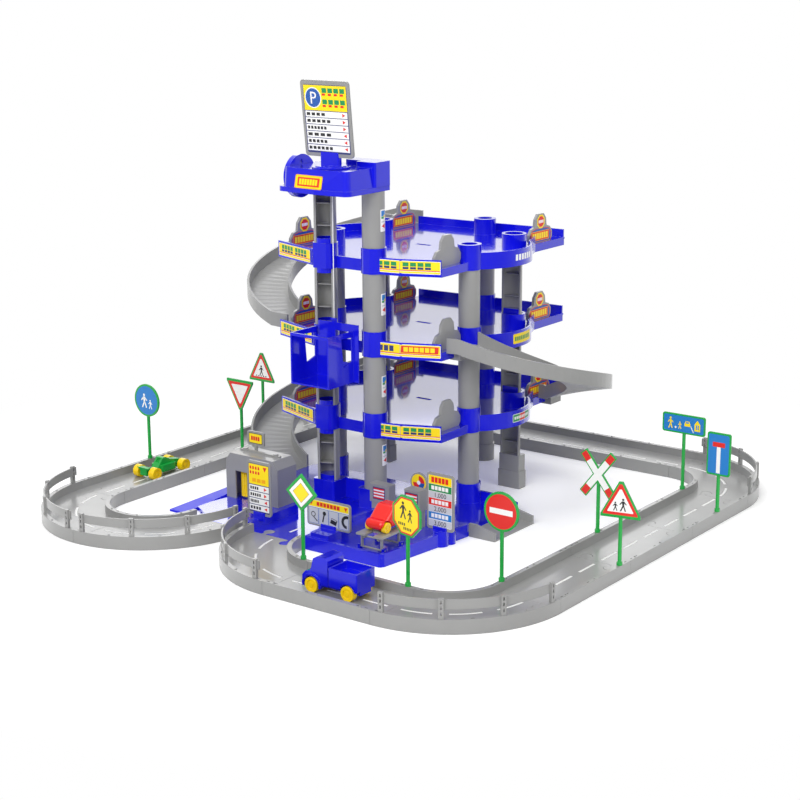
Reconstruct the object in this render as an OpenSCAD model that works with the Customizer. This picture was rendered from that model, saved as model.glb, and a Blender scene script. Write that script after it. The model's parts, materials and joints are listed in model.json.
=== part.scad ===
// Toy parking garage: a road loop around a three-deck garage with helical ramps, a lift,
// a car wash, a service yard and small vehicles. Millimetres, +Z up, the floor at Z = 0,
// the origin at the middle of the loop's rectangle.

/* [Road] */
// Width of a road piece over its two curbs
road_w = 113; // [100:1:120]
// Height of a curb above the play floor
curb_h = 22; // [18:1:26]
// Thickness of a curb
curb_t = 8; // [6:0.5:9]
// Height of the driving surface above the play floor
road_z = 8; // [6:0.5:10]
// Thickness of the driving surface
road_t = 3; // [2:0.25:4]
// Length of one straight road piece
straight_l = 200; // [180:1:220]
// Radius of a curve at its inner curb
curve_r = 81; // [75:1:95]
// Length of the road loop's straight sides, in straight pieces
side_pieces = 3; // [3:1:3]
// Gap at each seam between road pieces
seam_gap = 0.4; // [0.2:0.1:0.8]
// Radius of the round tab that joins two road pieces
tab_r = 9; // [7:0.5:11]
// Clearance around a tab in its socket
tab_clear = 0.4; // [0.3:0.1:0.6]
// Diameter of a sign socket stud on a curb
stud_d = 3.2; // [2:0.2:4]
// Height of a stud on a curb
stud_h = 1.2; // [0.8:0.2:2]

/* [Guard rails] */
// Height of the rail band
band_h = 14.5; // [12:0.5:18]
// Thickness of the rail band
band_t = 2.4; // [1.6:0.2:3]
// Height of the band's lower edge over the curb
band_lift = 13.5; // [11:0.5:16]
// Width of a rail post
post_w = 8; // [6:0.5:10]
// Depth of a rail post
post_t = 3.4; // [2.8:0.2:4]
// Width of the slots in a rail post
slot_w = 2.4; // [1.6:0.2:3]

/* [Storeys] */
// Height from one deck floor to the next
storey_h = 138; // [130:1:150]
// Thickness of a deck floor
deck_t = 3; // [2.5:0.25:4]
// Depth of the fascia below a deck floor
fascia_down = 14; // [12:0.5:16]
// Height of the parapet above a deck floor
fascia_up = 14; // [12:0.5:16]
// Thickness of the fascia
fascia_t = 3; // [2.5:0.25:4]
// Height of a column collar above a deck floor
collar_up = 28; // [24:0.5:32]
// Height of the column blocks on the base, over its floor
base_collar_up = 34; // [28:0.5:40]

/* [Columns] */
// Outer diameter of a round column
column_d = 36; // [34:0.5:38]
// Wall of a column
column_wall = 2.6; // [2:0.2:3.2]
// Outer diameter of the two lift columns
lift_column_d = 38; // [36:0.5:39]
// Outer diameter of an open column at the ramps
open_column_d = 38; // [36:0.5:39]
// Distance from the left lift column's axis to its open face
open_cut = 11; // [9:0.5:13]
// Depth of the open columns at the ramps
channel_depth = 19; // [17:0.5:20]
// Height of the spigot that holds a column in place
spigot_h = 8; // [6:0.5:10]
// Clearance of a spigot in its column
spigot_clear = 0.15; // [0.1:0.05:0.3]
// Wall of a collar outside the column's diameter
collar_wall = 2; // [1.5:0.25:3]
// Height of a foot's lower step
foot_low = 31; // [26:1:34]
// Height of a foot's upper step
foot_high = 60; // [50:1:64]

/* [Deck] */
// Radius of the round bulge at each side of a deck
bulge_r = 105; // [103:0.5:107]
// Half angle of the bulge wall
bulge_a = 48; // [46:0.5:50]
// Width of the rim block at an exit edge
exit_rim = 9; // [8.5:0.25:11]
// Depth of the slot that holds an exit board
board_slot = 4; // [3:0.25:6]

/* [Exit boards] */
// Thickness of an exit board
board_t = 5; // [4:0.25:5.5]
// Width of an exit board
board_w = 74; // [68:1:76]
// Height of an exit board above the deck floor
board_h = 50; // [48:1:60]
// Clearance of a board in its slot
board_clear = 0.3; // [0.2:0.05:0.5]

/* [Ramps] */
// Outer radius of a helical ramp
ramp_ro = 188; // [184:1:190]
// Inner radius of a helical ramp
ramp_ri = 110; // [106:1:114]
// Height of a ramp's side walls above its floor
ramp_wall_h = 22; // [18:1:26]
// Thickness of a ramp's side walls
ramp_wall = 4; // [3:0.25:5]
// Thickness of a ramp's floor
ramp_t = 3; // [2:0.25:3.5]
// Gap between a ramp's end and the deck edge
ramp_gap = 0.3; // [0.2:0.05:0.5]

/* [Base] */
// Thickness of the base's skin and ribs
base_skin = 3; // [2.5:0.25:4]
// Height of the service yard's floor
yard_z = 15; // [13:0.5:17]
// Height of the yard's rim
rim_z = 21; // [18:0.5:24]
// Thickness of the walls that stand on the base
base_wall = 6; // [5:0.5:7]
// Length of the grey exit ramp
exit_l = 50; // [40:1:60]

/* [Car wash] */
// Width of the car wash house
wash_w = 116; // [110:1:118]
// Depth of the car wash house
wash_d = 49; // [44:1:54]
// Height of the car wash house over the base
wash_h = 80; // [75:1:84]
// Wall of the car wash house
wash_wall = 3; // [2.5:0.25:4]
// Width of the wash doorway
door_w = 58; // [54:1:60]
// Height of the wash doorway
door_h = 50; // [44:1:54]
// Outer diameter of the wash roller
roller_d = 17; // [14:0.5:18]
// Diameter of the roller's shaft
roller_pin = 4; // [3:0.25:5]

/* [Service yard] */
// Height of the hoist platform's top over the yard
hoist_h = 27; // [24:0.5:29]
// Length of the hoist platform along the car
hoist_l = 60; // [56:1:66]
// Width of the hoist platform
hoist_w = 51; // [47:1:54]
// Thickness of the hoist platform
hoist_t = 3; // [2.5:0.25:3.5]
// Diameter of the hoist's hinge pins
hoist_pin = 3; // [2.5:0.25:3.5]

/* [Lift] */
// Width of the lift cage
cage_w = 80; // [76:1:82]
// Depth of the lift cage
cage_d = 68; // [62:1:70]
// Height of the cage walls
cage_h = 86; // [80:1:92]
// Wall of the lift cage
cage_wall = 2.5; // [2:0.25:3]
// Height of the cage's underside at rest
cage_z = 226; // [200:1:240]
// Height of the lift head's lower lip
head_z = 542; // [538:1:548]
// Height of the lift head
head_h = 39; // [36:1:42]
// Wall of the lift head
head_wall = 3; // [2.5:0.25:3.5]
// Diameter of the winding wheel
wheel_d = 71; // [66:1:74]
// Thickness of the winding wheel
wheel_t = 9.5; // [8:0.5:9.5]
// Diameter of the cord drum
drum_d = 20; // [16:1:24]
// Diameter of the lift cord
cord_d = 1.6; // [1.2:0.1:2]
// Running clearance of a shaft in its bearing
shaft_clear = 0.06; // [0.04:0.01:0.1]

/* [Signs] */
// Thickness of a sign plate
plate_t = 3; // [2.5:0.25:4]
// Width of a traffic sign's head
sign_w = 60; // [54:1:64]
// Height of a traffic sign's middle above the curb
sign_h = 103; // [96:1:110]
// Diameter of a sign post
sign_post_d = 6; // [5:0.5:7]
// Width of the billboard on the lift head
billboard_w = 98; // [90:1:104]
// Height of the billboard
billboard_h = 122; // [112:1:128]
// Backward tilt of the billboard in degrees
billboard_tilt = 6; // [0:0.5:8]

/* [Vehicles] */
// Diameter of the truck's wheels
truck_wheel = 23; // [20:0.5:25]
// Length of the truck's body
truck_l = 104; // [98:1:110]
// Width of the truck's body
truck_w = 44; // [40:1:46]
// Diameter of the racing car's wheels
racer_wheel = 22; // [19:0.5:24]
// Length of the racing car
racer_l = 92; // [86:1:98]
// Diameter of the red car's wheels
car_wheel = 17; // [15:0.5:18]
// Length of the red car
car_l = 72; // [68:1:76]
// Width of the red car
car_w = 38; // [35:1:40]
// Diameter of the vehicles' axles
axle_d = 3; // [2.5:0.25:3.5]

/* [Hidden] */
$fn = 48;

BLUE = "#1a1ad8";
GREY = "#8c8b88";
YELLOW = "#ffd900";
GREEN = "#16b04a";
RED = "#e81a14";
WHITE = "#f4f4f2";

function deck_z(k) = road_z + k*storey_h;
function polar(r, a) = [r*cos(a), r*sin(a)];
function arc(c, r, a0, a1, n) = [for (i = [0:n]) c + polar(r, a0 + (a1 - a0)*i/n)];

side_l = side_pieces*straight_l;
half = side_l/2;
curve_ro = curve_r + road_w;
road_mid = curve_r + road_w/2;
curb_mid = curb_t/2;
loop_out = half + curve_ro;
loop_in = half + curve_r;
front_x0 = half - straight_l;
rail_top = curb_h + band_lift + band_h;

// Rounded box between two corners, its four upright edges rounded
module block(a, b, r = 0) {
    w = b[0] - a[0];
    d = b[1] - a[1];
    translate([a[0], a[1], a[2]]) linear_extrude(b[2] - a[2])
        if (r > 0) union() {
            translate([r, 0]) square([w - 2*r, d]);
            translate([0, r]) square([w, d - 2*r]);
            for (x = [r, w - r], y = [r, d - r]) translate([x, y]) circle(r);
        } else square([w, d]);
}

// Path p moved sideways by s, its corners mitred
function unit(v) = v/norm(v);
function sideways(v) = [-v[1], v[0]];
function heading(p, i) = unit(p[max(i, 1)] - p[max(i, 1) - 1]);
function shifted(p, s) = [for (i = [0:len(p) - 1])
    let (n = sideways(heading(p, i)), m = unit(n + sideways(heading(p, min(i + 1, len(p) - 1)))))
        p[i] + m*s/(m*n)];

// Upright wall of thickness t along the points p, from z0 to z1
module wall(p, t, z0, z1) {
    right = shifted(p, -t/2);
    translate([0, 0, z0]) linear_extrude(z1 - z0)
        polygon(concat(shifted(p, t/2), [for (i = [len(p) - 1:-1:0]) right[i]]));
}

// Outline in the X-Z plane, t thick along Y, starting at y
module plate_xz(y, t) {
    translate([0, y + t, 0]) rotate([90, 0, 0]) linear_extrude(t) children();
}

// Outline whose first axis is Y and second is Z, t thick along X, starting at x
module plate_yz(x, t) {
    translate([x, 0, 0]) rotate([90, 0, 90]) linear_extrude(t) children();
}

module rounded(w, h, r) {
    translate([-w/2 + r, 0]) square([w - 2*r, h]);
    translate([-w/2, r]) square([w, h - 2*r]);
    for (x = [-w/2 + r, w/2 - r], y = [r, h - r]) translate([x, y]) circle(r);
}

// Tab that leaves a road end at +Y, and the socket for the next piece's tab
tab_x = road_w/4;
tab_reach = tab_r + 5;
tab_neck = tab_r*0.9;

module tab_outline(grow = 0) {
    translate([-tab_neck/2 - grow, -curb_t]) square([tab_neck + 2*grow, curb_t + tab_reach]);
    translate([0, tab_reach]) circle(tab_r + grow);
}

module road_tab() {
    translate([-tab_x, 0, road_z - road_t]) linear_extrude(road_t) tab_outline();
}

module road_socket() {
    translate([tab_x, 0, road_z - road_t - 1]) linear_extrude(road_t + 2) rotate(180)
        tab_outline(tab_clear);
}

module curb_profile() {
    square([curb_t, curb_h]);
    translate([road_w - curb_t, 0]) square([curb_t, curb_h]);
    translate([curb_mid, road_z - road_t]) square([road_w - curb_t, road_t]);
}

module stud() {
    cylinder(d = stud_d, h = curb_h + stud_h, $fn = 20);
}

// One straight piece along Y from 0, centred on X
module straight() {
    l = straight_l - seam_gap;
    difference() {
        union() {
            translate([-road_w/2, straight_l - seam_gap/2, 0]) rotate([90, 0, 0])
                linear_extrude(l) curb_profile();
            translate([0, straight_l - seam_gap/2, 0]) road_tab();
            translate([0, seam_gap/2, 0]) rotate(180) road_tab();
            for (x = [-1, 1], y = [0.1, 0.5, 0.9])
                translate([x*(road_w/2 - curb_mid), y*straight_l, 0]) stud();
        }
        translate([0, straight_l - seam_gap/2, 0]) road_socket();
        translate([0, seam_gap/2, 0]) rotate(180) road_socket();
    }
}

// One quarter curve, from the +X axis to the +Y axis about the origin
module curve() {
    difference() {
        union() {
            difference() {
                rotate_extrude(angle = 90, $fn = 120) translate([curve_r, 0]) curb_profile();
                cube([2*curve_ro, seam_gap, 4*curb_h], center = true);
                cube([seam_gap, 2*curve_ro, 4*curb_h], center = true);
            }
            translate([road_mid, seam_gap/2, 0]) rotate(180) road_tab();
            translate([seam_gap/2, road_mid, 0]) rotate(90) road_tab();
            for (r = [curve_r + curb_mid, curve_ro - curb_mid], a = [20, 70])
                rotate(a) translate([r, 0, 0]) stud();
        }
        translate([road_mid, seam_gap/2, 0]) rotate(180) road_socket();
        translate([seam_gap/2, road_mid, 0]) rotate(90) road_socket();
    }
}

module road_side(c, turn, pieces) {
    color(GREY) translate([c[0], c[1], 0]) rotate(turn)
        for (i = [0:pieces - 1]) translate([0, i*straight_l, 0]) straight();
}

module corner(c, turn) {
    color(GREY) translate([c[0], c[1], 0]) rotate(turn) curve();
}

module road_front() road_side([front_x0, -half - road_mid], -90, 1);
module road_right() road_side([half + road_mid, -half], 0, side_pieces);
module road_back() road_side([-half, half + road_mid], -90, side_pieces);
module road_left() road_side([-half - road_mid, -half], 0, side_pieces);
module curve_front_right() corner([half, -half], -90);
module curve_back_right() corner([half, half], 0);
module curve_back_left() corner([-half, half], 90);
module curve_left_outer() corner([-half, -half], 180);
module curve_left_inner() corner([-half, -half], -90);
module curve_front_left() corner([front_x0, -half], 180);

// Guard rail on the outer curb of a quarter curve
rail_r = curve_ro - 1.2;
rail_end = 5;

// Part of a ring from radius r0 to r1, w wide, centred on the +X axis
module ring_part(r0, r1, w, z0, z1) {
    a = w/r1*180/PI;
    rotate(-a/2) rotate_extrude(angle = a, $fn = 120) translate([r0, z0]) square([r1 - r0, z1 - z0]);
}

module guard_rail(c, turn) {
    rb = rail_r - post_t - band_t;
    color(GREY) translate([c[0], c[1], 0]) rotate(turn) difference() {
        union() {
            rotate(rail_end - 2) rotate_extrude(angle = 90 - 2*(rail_end - 2), $fn = 120)
                translate([rb, curb_h + band_lift]) square([band_t, band_h]);
            for (i = [0:3]) rotate(rail_end + i*(90 - 2*rail_end)/3)
                ring_part(rb + band_t/2, rail_r, post_w, curb_h, rail_top + 2);
        }
        for (i = [0:3], z = [curb_h + 5, curb_h + 14, curb_h + 22])
            rotate(rail_end + i*(90 - 2*rail_end)/3)
                ring_part(rb - 1, rail_r + 1, slot_w, z, z + 5);
    }
}

module rail_front_right() guard_rail([half, -half], -90);
module rail_back_right() guard_rail([half, half], 0);
module rail_back_left() guard_rail([-half, half], 90);
module rail_left_outer() guard_rail([-half, -half], 180);
module rail_left_inner() guard_rail([-half, -half], -90);
module rail_front_left() guard_rail([front_x0, -half], 180);

// Plan of the garage: column axes and deck edges
c_lift_left = [-106, -82];
c_lift_right = [-8, -78];
c_front_right = [100, 40];
c_ramp_right = [100, 174];
c_back = [-38, 290];
c_front_left = [-186, 40];
c_ramp_left = [-184, 174];
bulge_right = [47, 121];
bulge_left = [-163, 121];
edge_fr = 110;
edge_br = 101;
edge_bl = -208;
edge_fl = -228;
wing_fl = [-237, -47];
front_lip = -78;

function deck_outline() = concat(
    [[edge_fl, -41], wing_fl, [-200, -60], [-134, -82], [-108, front_lip], [-31, front_lip],
     [-20, -93], [45, -80], [edge_fr, -53], [edge_fr, 26]],
    arc(bulge_right, bulge_r - fascia_t/2, -bulge_a, bulge_a, 32),
    [[edge_br, 240], [edge_br, 337], [24, 335], [-38, 330], [-100, 326], [edge_bl, 320],
     [edge_bl, 226]],
    arc(bulge_left, bulge_r - fascia_t/2, 180 - bulge_a, 180 + bulge_a, 32),
    [[edge_fl, 40]]);

// Fascia runs between the exits, as lists of points
function fascia_runs() = let (i = fascia_t/2) [
    [wing_fl, [-200, -60 + i], [-134, -82 + i]],
    [[-20, -93 + i], [45, -80 + i], [edge_fr - i, -53 + i]],
    concat([[edge_fr - i, 26]], arc(bulge_right, bulge_r - i, -bulge_a, bulge_a, 32),
        [[edge_br - i, 240]]),
    [[edge_br - i, 337 - i], [24, 335 - i], [-38, 330 - i], [-100, 326 - i],
     [edge_bl + i, 320 - i]],
    concat([[edge_bl + i, 226]], arc(bulge_left, bulge_r - i, 180 - bulge_a, 180 + bulge_a, 32),
        [[edge_fl + i, 40]])];

// Exits: edge, side on which the deck lies, span along Y, middle of the board along Y and
// how far inside the edge the board stands
exits = [[edge_fr, -1, -53, 26, -18, 15], [edge_br, -1, 240, 335, 265, 7.5],
    [edge_bl, 1, 226, 318, 265, 4.5], [edge_fl, 1, -34, 40, 3, 4.5]];

// Collar of a column with the spigots that the columns slip over
module collar(c, d, z, up_spigot) {
    inner = d/2 - column_wall - spigot_clear;
    translate([c[0], c[1], z]) difference() {
        union() {
            translate([0, 0, -fascia_down]) cylinder(d = d + 2*collar_wall,
                h = fascia_down + collar_up);
            translate([0, 0, -fascia_down - spigot_h])
                cylinder(r = inner, h = spigot_h + fascia_down);
            if (up_spigot) cylinder(r = inner, h = collar_up + spigot_h);
        }
        translate([0, 0, -fascia_down - spigot_h - 1])
            cylinder(r = inner - 2, h = spigot_h + fascia_down - 2);
        translate([0, 0, deck_t]) cylinder(r = inner - 2, h = collar_up + spigot_h + 1);
    }
}

// Collar of an open column, whose spigots fill the channel from behind
module channel_collar(c, z, up_spigot) {
    d = open_column_d;
    translate([c[0], c[1], z]) difference() {
        translate([0, 0, -fascia_down]) cylinder(d = d + 2*collar_wall,
            h = fascia_down + collar_up);
        translate([0, 0, deck_t]) cylinder(d = d - 6, h = collar_up);
    }
    if (up_spigot) channel_spigot(c, z + collar_up - 3);
    channel_spigot(c, z - fascia_down - spigot_h);
}

module channel_spigot(c, z) {
    translate([c[0], c[1] - channel_back, z]) intersection() {
        cylinder(r = open_column_d/2 - column_wall - spigot_clear, h = spigot_h + 3);
        translate([-open_column_d, 1, 0]) cube([2*open_column_d, open_column_d, 2*spigot_h]);
    }
}

channel_back = channel_depth/2 - 1.5;

// Collar beside the lift, its front kept flat so that the cage can pass
module lift_collar(c, z, up_spigot) {
    difference() {
        collar(c, lift_column_d, z, up_spigot);
        translate([c[0] - lift_column_d, lift_front - 40, z - 2*storey_h])
            cube([2*lift_column_d, 40, 4*storey_h]);
    }
}

lift_front = -98;

module deck(k) {
    z = deck_z(k);
    up = k < 3;
    color(BLUE) difference() {
        union() {
            translate([0, 0, z - deck_t]) linear_extrude(deck_t) polygon(deck_outline());
            for (run = fascia_runs()) wall(run, fascia_t, z - fascia_down, z + fascia_up);
            wall([[c_lift_left[0] + 15, front_lip + fascia_t/2], [c_lift_right[0] - 15,
                front_lip + fascia_t/2]], fascia_t, z - fascia_down, z + 6);
            for (e = exits) translate([min(e[0], e[0] + e[1]*exit_rim), e[2], z - fascia_down])
                cube([exit_rim, e[3] - e[2], fascia_down]);
            for (e = exits) if (e[5] > exit_rim/2) translate([board_x(e) - 3,
                board_y(e) - board_w/2 + 6, z - board_slot - 4])
                cube([board_t + 6, board_w - 12, board_slot + 3]);
            for (c = [c_front_right, c_back, c_front_left]) collar(c, column_d, z, up);
            for (c = [c_ramp_right, c_ramp_left]) channel_collar(c, z, up);
        }
        for (c = [c_lift_left, c_lift_right]) translate([c[0], c[1], z - storey_h/2])
            cylinder(d = lift_column_d, h = storey_h);
        for (e = exits) board_pocket(e, z);
        translate([-56, 126, z - 2*deck_t]) linear_extrude(4*deck_t)
            translate([-15, -4]) square([30, 8]);
    }
    color(BLUE) for (c = [c_lift_left, c_lift_right]) lift_collar(c, z, true);
}

function board_x(e) = e[0] + e[1]*e[5] - board_t/2;
function board_y(e) = e[4];

module board_pocket(e, z) {
    x = board_x(e);
    translate([x - board_clear, board_y(e) - board_w/2 - board_clear, z - board_slot])
        cube([board_t + 2*board_clear, board_w + 2*board_clear, board_slot + fascia_up + 4]);
}

// Board outline: a trapezoid shoulder with an eight-sided head
module board_outline() {
    w = board_w;
    shoulder = board_h*0.5;
    head = board_h*0.36;
    polygon([[-w/2 + 8, -board_slot], [w/2 - 8, -board_slot], [w/2, 6], [w/2, shoulder - 9],
        [w/2 - 7, shoulder], [head + 1, shoulder + 3], [head - 1, board_h - 9],
        [head/2, board_h], [-head/2, board_h], [1 - head, board_h - 9],
        [-head - 1, shoulder + 3], [-w/2 + 7, shoulder], [-w/2, shoulder - 9], [-w/2, 6]]);
}

module exit_boards() {
    color(GREY) for (k = [1:3], e = exits) translate([0, board_y(e), deck_z(k)])
        plate_yz(board_x(e), board_t) board_outline();
}

module deck_lower() deck(1);
module deck_middle() deck(2);
module deck_upper() deck(3);

// Column tube between two heights
module tube(c, d, z0, z1, cut = 0, turn = 0) {
    translate([c[0], c[1], z0]) rotate(turn) {
        difference() {
            cylinder(d = d, h = z1 - z0);
            translate([0, 0, -1]) cylinder(d = d - 2*column_wall, h = z1 - z0 + 2);
            if (cut > 0) translate([-d, -cut - d, -1]) cube([2*d, d, z1 - z0 + 2]);
        }
        if (cut > 0) for (f = [0.3, 0.7]) tube_web(d, f*(z1 - z0), cut);
    }
}

// Thin web across an open tube, behind its opening
module tube_web(d, z, cut) {
    translate([0, 0, z]) intersection() {
        cylinder(d = d - column_wall, h = 1.6);
        translate([-d, 5 - cut, -1]) cube([2*d, 2*d, 4]);
    }
}

module tubes(c, d, z0, cut = 0, turn = 0) {
    tube(c, d, z0, deck_z(1) - fascia_down, cut, turn);
    for (k = [1:2]) tube(c, d, deck_z(k) + collar_up, deck_z(k + 1) - fascia_down, cut, turn);
}

open_turn = 24;
block_top = road_z + base_collar_up;
head_floor = head_z + 8;

module column_lift_left() {
    color(GREY) {
        tubes(c_lift_left, lift_column_d, block_top, open_cut, open_turn);
        tube(c_lift_left, lift_column_d, deck_z(3) + collar_up, head_z, open_cut, open_turn);
    }
}

module column_lift_right() {
    color(GREY) {
        tubes(c_lift_right, lift_column_d, block_top);
        tube(c_lift_right, lift_column_d, deck_z(3) + collar_up, head_z);
    }
}

module column_front_right() color(GREY) tubes(c_front_right, column_d, block_top);
module column_front_left() color(GREY) tubes(c_front_left, column_d, block_top);

module column_back() {
    color(GREY) {
        translate([c_back[0], c_back[1], 0]) difference() {
            cylinder(d = column_d + 2*collar_wall, h = foot_low);
            translate([0, 0, -1]) cylinder(d = column_d - 2*column_wall, h = foot_low - 2);
        }
        tubes(c_back, column_d, foot_low);
    }
}

// Stepped box foot under an open column
module box_foot(c) {
    translate([c[0], c[1], 0]) difference() {
        union() {
            block([-22.5, -channel_back - 2, 0], [22.5, channel_depth - channel_back + 1,
                foot_low], 1.5);
            block([-21, -channel_back - 1, 0], [21, channel_depth - channel_back,
                foot_high], 1.5);
        }
        block([-18, -channel_back + 2, -1], [18, channel_depth - channel_back - 3,
            foot_high - 3]);
    }
}

module channel_column(c) {
    box_foot(c);
    tubes(c - [0, channel_back], open_column_d, foot_high, 0.001);
}

module column_ramp_right() color(GREY) channel_column(c_ramp_right);
module column_ramp_left() color(GREY) channel_column(c_ramp_left);

// Helical ramps. side is +1 to the right of the garage and -1 to the left.
ramp_y = 147.5;
ramp_right_x = 97;
ramp_left_x = -235;
ramp_steps = 36;
ramp_flat = 10;
ramp_lead = 34;

function ramp_mix(a) = min(1, max(0, (a - ramp_flat)/(180 - 2*ramp_flat)));
function ramp_point(r, a, side, xc) = [xc + side*r*sin(a), ramp_y - r*cos(a)];
function ramp_section() = [[ramp_ri, -ramp_t], [ramp_ro, -ramp_t], [ramp_ro, ramp_wall_h],
    [ramp_ro - ramp_wall, ramp_wall_h], [ramp_ro - ramp_wall, 0], [ramp_ri + ramp_wall, 0],
    [ramp_ri + ramp_wall, ramp_wall_h], [ramp_ri, ramp_wall_h]];
function ramp_ring(a, z, side, xc, lead) = [for (q = ramp_section())
    let (p = ramp_point(q[0], a, side, xc)) [p[0] - side*lead, p[1], z + q[1]]];

module ramp_body(xc, side, z_front, z_back) {
    rings = concat([ramp_ring(0, z_front, side, xc, ramp_lead)],
        [for (i = [0:ramp_steps]) let (a = 180*i/ramp_steps)
            ramp_ring(a, z_front + (z_back - z_front)*ramp_mix(a), side, xc, 0)],
        [ramp_ring(180, z_back, side, xc, ramp_lead)]);
    n = 8;
    m = len(rings);
    faces = concat(
        [for (i = [0:m - 2], j = [0:n - 1]) [i*n + j, i*n + (j + 1)%n, (i + 1)*n + j]],
        [for (i = [0:m - 2], j = [0:n - 1])
            [i*n + (j + 1)%n, (i + 1)*n + (j + 1)%n, (i + 1)*n + j]],
        [[5, 4, 1], [5, 1, 0], [4, 3, 2], [4, 2, 1], [5, 0, 7], [5, 7, 6]],
        [for (f = [[5, 4, 1], [5, 1, 0], [4, 3, 2], [4, 2, 1], [5, 0, 7], [5, 7, 6]])
            [f[2] + (m - 1)*n, f[1] + (m - 1)*n, f[0] + (m - 1)*n]]);
    all_points = [for (r = rings, p = r) p];
    flip = side > 0 ? faces : [for (f = faces) [f[2], f[1], f[0]]];
    polyhedron(points = all_points, faces = flip, convexity = 6);
}

// Lug that hooks under the deck's exit rim, at the ramp's middle
module ramp_lug(edge, side, y, z) {
    x0 = side > 0 ? edge - 8 : edge - 12;
    under = z - fascia_down - ramp_gap;
    w = side > 0 ? edge + ramp_gap : edge - ramp_gap - 12;
    translate([x0, y - 17, under - 4]) cube([20, 34, 4]);
    translate([w, y - 17, under - 4]) cube([12, 34, z - 1 - under + 4]);
}

module ramp(xc, side, edge_front, edge_back, k_front, k_back) {
    zf = deck_z(k_front) + ramp_gap;
    zb = deck_z(k_back) + ramp_gap;
    mid = (ramp_ri + ramp_ro)/2;
    color(GREY) {
        difference() {
            ramp_body(xc, side, zf, zb);
            ramp_trim(edge_front, side, -1, zf);
            ramp_trim(edge_back, side, 1, zb);
        }
        if (k_front > 0) ramp_lug(edge_front, side, ramp_y - mid, zf);
        else translate([edge_front - ramp_gap - 12, ramp_y - mid - 17, 0])
            cube([12, 34, road_z - ramp_t + 1]);
        ramp_lug(edge_back, side, ramp_y + mid, zb);
    }
}

// Cuts a ramp's end flush with the deck edge that it meets
module ramp_trim(edge, side, end, z) {
    x = side > 0 ? edge + ramp_gap - 100 : edge - ramp_gap;
    y = end < 0 ? ramp_y - ramp_ro - 5 : ramp_y;
    translate([x, y, z - 60]) cube([100, ramp_ro + 5, 120]);
}

module ramp_right() color(GREY) difference() {
    ramp(ramp_right_x, 1, edge_fr, edge_br, 2, 1);
    translate([c_front_right[0], c_front_right[1], deck_z(2) - fascia_down - 2])
        cylinder(d = column_d + 2*collar_wall + 1, h = fascia_down + collar_up + 3);
}

module ramp_upper_left() ramp(ramp_left_x, -1, edge_fl, edge_bl, 2, 3);
module ramp_lower_left() ramp(ramp_left_x, -1, base_left, edge_bl, 0, 1);

// Base
base_front = -half + seam_gap;
base_left = -252;
base_back = 62;
lane_left = -half + curve_r;
lane_right = front_x0 - curve_ro;
yard_x0 = front_x0 - curve_r;
yard_corner = 172;
exit_x = 195;
exit_y0 = -97;
exit_y1 = 19;
tip = [206, 37];
island_y = -178;

function base_outline() = [[lane_left, base_front], [yard_corner - 8, base_front],
    [yard_corner - 2, base_front + 2], [yard_corner + 1, base_front + 8], [exit_x, exit_y0],
    [exit_x, exit_y1], tip, [125, base_back], [base_left + 12, base_back],
    [base_left, base_back - 12], [base_left, base_front + 44.6],
    [lane_left, base_front + 24.6]];

// Underside pockets between ribs
module base_pockets() {
    for (i = [0:5], j = [0:4]) translate([base_left + 14 + i*65, base_front + 9 + j*68, -1])
        cube([61, 64, road_z - base_skin + 1]);
}

module column_block(c, d) {
    translate([c[0], c[1], 0]) difference() {
        union() {
            cylinder(d = d + 2*collar_wall + 2, h = block_top);
            cylinder(r = d/2 - column_wall - spigot_clear, h = block_top + spigot_h);
        }
        translate([0, 0, -1]) cylinder(r = d/2 - column_wall - 3, h = block_top - 3);
    }
}

module lift_block(c) {
    difference() {
        union() {
            block([c[0] - 23, lift_front, 0], [c[0] + 23, c[1] + 21, block_top], 4);
            translate([c[0], c[1], 0])
                cylinder(r = lift_column_d/2 - column_wall - spigot_clear,
                    h = block_top + spigot_h);
        }
        translate([c[0], c[1], -1]) cylinder(d = 28, h = block_top - 3);
        translate([c[0] - 30, c[1] - open_cut - 20, block_top]) cube([60, 20.5, spigot_h + 1]);
    }
}

yard_rim = [[yard_x0 + base_wall/2, base_front + base_wall/2],
    [yard_corner - base_wall, base_front + base_wall/2],
    [yard_corner - base_wall/2 + 1, base_front + 8], [exit_x - base_wall/2, exit_y0 - 3]];
boss = [183, -158];

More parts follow.
